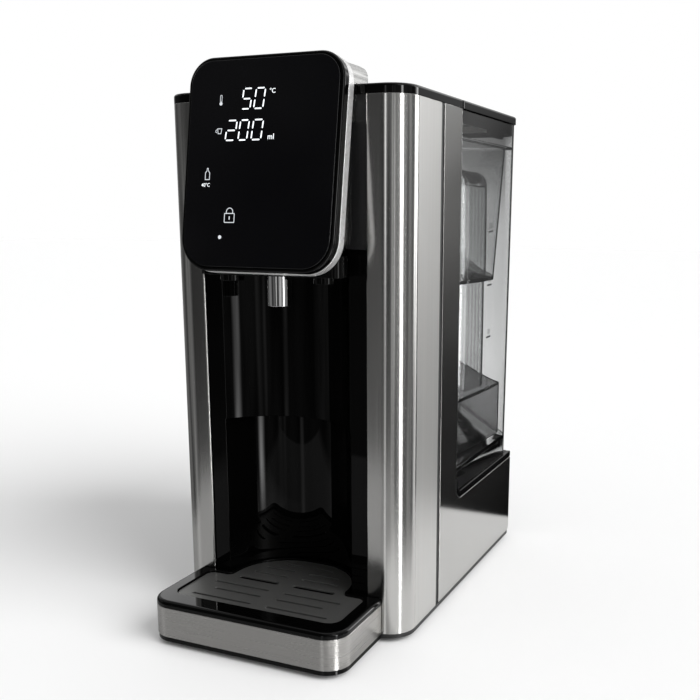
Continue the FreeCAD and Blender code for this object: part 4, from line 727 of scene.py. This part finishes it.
def make_floor():
    """A white worktop; in reflections it ends near the machine, as a small table would."""
    size = 6.0
    data = bpy.data.meshes.new("floor")
    data.from_pydata([(-size, -size, 0), (size, -size, 0), (size, size, 0), (-size, size, 0)], [],
                     [(0, 1, 2, 3)])
    floor = bpy.data.objects.new("floor", data)
    scene.collection.objects.link(floor)
    material, tree, shader = new_material("white_worktop", Base_Color=(0.9, 0.9, 0.9, 1),
                                          Roughness=0.7, Specular_IOR_Level=0.1)
    place = node(tree, "ShaderNodeNewGeometry")
    axes = node(tree, "ShaderNodeSeparateXYZ")
    link(tree, (place, "Position"), (axes, 0))
    behind = remap(tree, (axes, "Y"), *TABLE_REAR)
    ahead = remap(tree, math_node(tree, "MULTIPLY", (axes, "Y"), -1.0), *TABLE_FRONT)
    beside = remap(tree, math_node(tree, "ABSOLUTE", (axes, "X")), *TABLE_SIDE)
    shaded = remap(tree, (axes, "X"), *SHADED_STRIP, smooth=True)
    faded = math_node(tree, "MULTIPLY", remap(tree, (axes, "X"), *FADE_RIGHT),
                      remap(tree, math_node(tree, "MULTIPLY", (axes, "Y"), -1.0), *FADE_FRONT))
    beyond = math_node(tree, "MAXIMUM", math_node(tree, "MAXIMUM", behind, ahead),
                       math_node(tree, "MAXIMUM", beside, shaded))
    beyond = math_node(tree, "MAXIMUM", beyond, faded)
    path = node(tree, "ShaderNodeLightPath")
    gone = math_node(tree, "MULTIPLY", beyond, (path, "Is Glossy Ray"))
    nothing = node(tree, "ShaderNodeBsdfTransparent")
    mixed = node(tree, "ShaderNodeMixShader")
    link(tree, gone, (mixed, 0))
    link(tree, (shader, 0), (mixed, 1))
    link(tree, (nothing, 0), (mixed, 2))
    link(tree, (mixed, 0), (tree.nodes["Material Output"], 0))
    data.materials.append(material)


# how far the table reaches in reflections: where it starts and stops fading, in metres
TABLE_REAR, TABLE_FRONT, TABLE_SIDE = (0.172, 0.182), (0.42, 0.46), (0.11, 0.28)
# and the share of it that is lost, by place across: from, to, and the share at each
SHADED_STRIP = (0.070, 0.088, 0.62, 0.18)
# and how it fades at the front right: across, and ahead with the share lost at each end
FADE_RIGHT, FADE_FRONT = (-0.03, 0.0), (0.17, 0.25, 0.0, 0.72)
# brightness of the studio seen in reflections, by bearing from the front (right positive)
LEVEL_RING = [(-180, 0.15), (-150, 0.2), (-125, 0.10), (-80, 0.08), (-70, 0.16), (-60, 0.16),
              (-50, 0.07), (-34, 0.07), (-27, 0.06), (-5, 0.07), (-2, 0.8), (0, 0.8), (3, 0.08),
              (24, 0.10), (27, 0.5), (30, 0.08), (36, 0.45), (39, 0.1), (60, 0.2), (63, 8.0),
              (67, 8.0), (71, 0.2), (92, 0.10), (126, 0.3), (134, 4.9), (147, 4.9), (152, 0.2),
              (170, 0.16), (180, 0.15)]
HIGH_RING = [(-180, 0.5), (-140, 1.0), (-110, 0.4), (-70, 0.3), (-58, 0.04), (0, 0.03),
             (20, 0.05), (48, 0.3), (56, 2.0), (70, 2.0), (80, 0.3), (110, 0.6), (125, 1.6),
             (165, 1.6), (180, 0.5)]
# share of it that is left at the rear right, by height in degrees, and the bearings between
# which that sets in
REAR_FALL = [(-20, 0.08), (-13, 0.09), (-9, 0.15), (-5, 0.31), (0, 0.62), (6, 1.0)]
REAR_BEARINGS = (120, 132)
# brightness of the backdrop seen through clear plastic, by height in degrees
BACKDROP = [(-22, 0.7), (-17, 0.95), (-13, 1.0), (-8, 0.85), (-2, 0.75), (0, 0.55), (3, 0.26),
            (6, 0.14), (20, 0.5)]
# brightness met by reflections inside the clear tank, by bearing
TANK_RING = [(-180, 0.1), (-90, 0.05), (0, 0.05), (30, 0.1), (38, 0.1), (44, 8.0), (74, 8.0),
             (80, 0.1), (108, 0.1), (112, 3.0), (118, 3.0), (122, 0.05), (175, 0.05), (180, 0.1)]
SKY, EVEN_LIGHT = 0.9, 0.62
BRIGHTEST = 8.0
# heights in degrees: half the span of the levels by height, where the high ring takes over
# from the level one, and where the roof begins
HEIGHT_SPAN, RING_CLIMB, ROOF_EDGE = 30, (10, 22), (58, 72)
# slow changes in brightness round the studio: from and to in the noise, and in share
CLOUD_DRIFT = (0.35, 0.70, 0.4, 2.2)


def ring_place(bearing):
    """A bearing's place on the ring's ramp."""
    return (bearing + 180) / 360


def studio_ring(tree, turned, levels):
    """Brightness round the horizon, from bearings in degrees."""
    return ramp(tree, turned, [(ring_place(angle), level / BRIGHTEST)
                               for angle, level in levels])


def by_height(tree, height, levels, scale=1.0):
    """A level from the height above the horizon, from heights in degrees."""
    risen = remap(tree, height, math.radians(-HEIGHT_SPAN), math.radians(HEIGHT_SPAN))
    return ramp(tree, risen, [((angle + HEIGHT_SPAN) / (2 * HEIGHT_SPAN), level * scale)
                              for angle, level in levels])


def make_world():
    """Even white light, and for reflections a dim studio with tall soft boxes."""
    world = bpy.data.worlds.new("studio")
    scene.world = world
    world.use_nodes = True
    world.cycles.sampling_method = "NONE"
    tree = world.node_tree
    place = node(tree, "ShaderNodeTexCoord")
    axes = node(tree, "ShaderNodeSeparateXYZ")
    link(tree, (place, "Generated"), (axes, 0))
    ahead = math_node(tree, "MULTIPLY", (axes, "Y"), -1.0)
    turned = remap(tree, math_node(tree, "ARCTAN2", (axes, "X"), ahead), -math.pi, math.pi)
    height = math_node(tree, "ARCSINE", (axes, "Z"))
    climb = remap(tree, height, *map(math.radians, RING_CLIMB), smooth=True)
    rings = node(tree, "ShaderNodeMixRGB")
    link(tree, climb, (rings, 0))
    link(tree, studio_ring(tree, turned, LEVEL_RING), (rings, 1))
    link(tree, studio_ring(tree, turned, HIGH_RING), (rings, 2))
    cloud = node(tree, "ShaderNodeTexNoise", {"Scale": 3.2, "Detail": 3.0, "Roughness": 0.45})
    link(tree, (place, "Generated"), (cloud, "Vector"))
    drift = remap(tree, (cloud, 0), *CLOUD_DRIFT, smooth=True)
    at_rear = remap(tree, turned, *map(ring_place, REAR_BEARINGS))
    kept = node(tree, "ShaderNodeMix", {2: 1.0}, data_type="FLOAT")
    link(tree, at_rear, (kept, 0))
    link(tree, by_height(tree, height, REAR_FALL), (kept, 3))
    cloudy = node(tree, "ShaderNodeVectorMath", operation="MULTIPLY")
    link(tree, (rings, 0), (cloudy, 0))
    link(tree, math_node(tree, "MULTIPLY", drift, (kept, 0)), (cloudy, 1))
    overhead = remap(tree, height, *map(math.radians, ROOF_EDGE), smooth=True)
    roof = node(tree, "ShaderNodeMixRGB")
    roof.inputs[2].default_value = (*[SKY / BRIGHTEST] * 3, 1)
    link(tree, overhead, (roof, 0))
    link(tree, (cloudy, 0), (roof, 1))
    path = node(tree, "ShaderNodeLightPath")
    within = node(tree, "ShaderNodeMixRGB")
    link(tree, math_node(tree, "GREATER_THAN", (path, "Transmission Depth"), 0.5), (within, 0))
    link(tree, (roof, 0), (within, 1))
    link(tree, studio_ring(tree, turned, TANK_RING), (within, 2))
    lit = node(tree, "ShaderNodeMixRGB")
    lit.inputs[1].default_value = (*[EVEN_LIGHT / BRIGHTEST] * 3, 1)
    link(tree, (path, "Is Glossy Ray"), (lit, 0))
    link(tree, (within, 0), (lit, 2))
    straight = math_node(tree, "LESS_THAN", (path, "Glossy Depth"), 0.5)
    through = node(tree, "ShaderNodeMixRGB")
    link(tree, math_node(tree, "MULTIPLY", (path, "Is Transmission Ray"), straight), (through, 0))
    link(tree, (lit, 0), (through, 1))
    link(tree, by_height(tree, height, BACKDROP, 1 / BRIGHTEST), (through, 2))
    shown = node(tree, "ShaderNodeMixRGB")
    shown.inputs[2].default_value = (*[1.0 / BRIGHTEST] * 3, 1)
    link(tree, (path, "Is Camera Ray"), (shown, 0))
    link(tree, (through, 0), (shown, 1))
    link(tree, (shown, 0), (tree.nodes["Background"], "Color"))
    tree.nodes["Background"].inputs["Strength"].default_value = BRIGHTEST


def key_light():
    """A broad key from the right and a little behind, for the soft shadow on the left."""
    data = bpy.data.lights.new("key", "SUN")
    data.energy = 2.75
    data.angle = math.radians(46)
    lamp = bpy.data.objects.new("key", data)
    scene.collection.objects.link(lamp)
    lamp.rotation_euler = Vector((-0.84, 0.14, -0.62)).to_track_quat("-Z", "Y").to_euler()
    lamp.visible_glossy = False
    lamp.visible_transmission = False


# the camera's place right of the middle, ahead of the front and above the base, in metres,
# and its turn, dip and roll in degrees
CAMERA_PLACE, CAMERA_TURNS = (0.27741, -0.46676, 0.25226), (23.1, 11.58, 0.315)


def make_camera():
    """The camera at the viewing angle, level with the upper part of the machine."""
    data = bpy.data.cameras.new("camera")
    data.sensor_width = 36.0
    data.lens = 47.12
    data.shift_x = -0.0780
    data.shift_y = 0.0704
    camera = bpy.data.objects.new("camera", data)
    scene.collection.objects.link(camera)
    turn, dip, roll = map(math.radians, CAMERA_TURNS)
    across, back, up = CAMERA_PLACE
    ahead = Vector((-math.sin(turn) * math.cos(dip), math.cos(turn) * math.cos(dip),
                    -math.sin(dip)))
    right = Vector((math.cos(turn), math.sin(turn), 0))
    above = right.cross(ahead)
    level = right * math.cos(roll) + above * math.sin(roll)
    upright = above * math.cos(roll) - right * math.sin(roll)
    camera.matrix_world = Matrix((
        (level.x, upright.x, -ahead.x, across),
        (level.y, upright.y, -ahead.y, FRONT_Y + back),
        (level.z, upright.z, -ahead.z, BASE_Z + up),
        (0, 0, 0, 1)))
    scene.camera = camera


make_floor()
make_world()
key_light()
make_camera()
scene.view_settings.view_transform = "Standard"
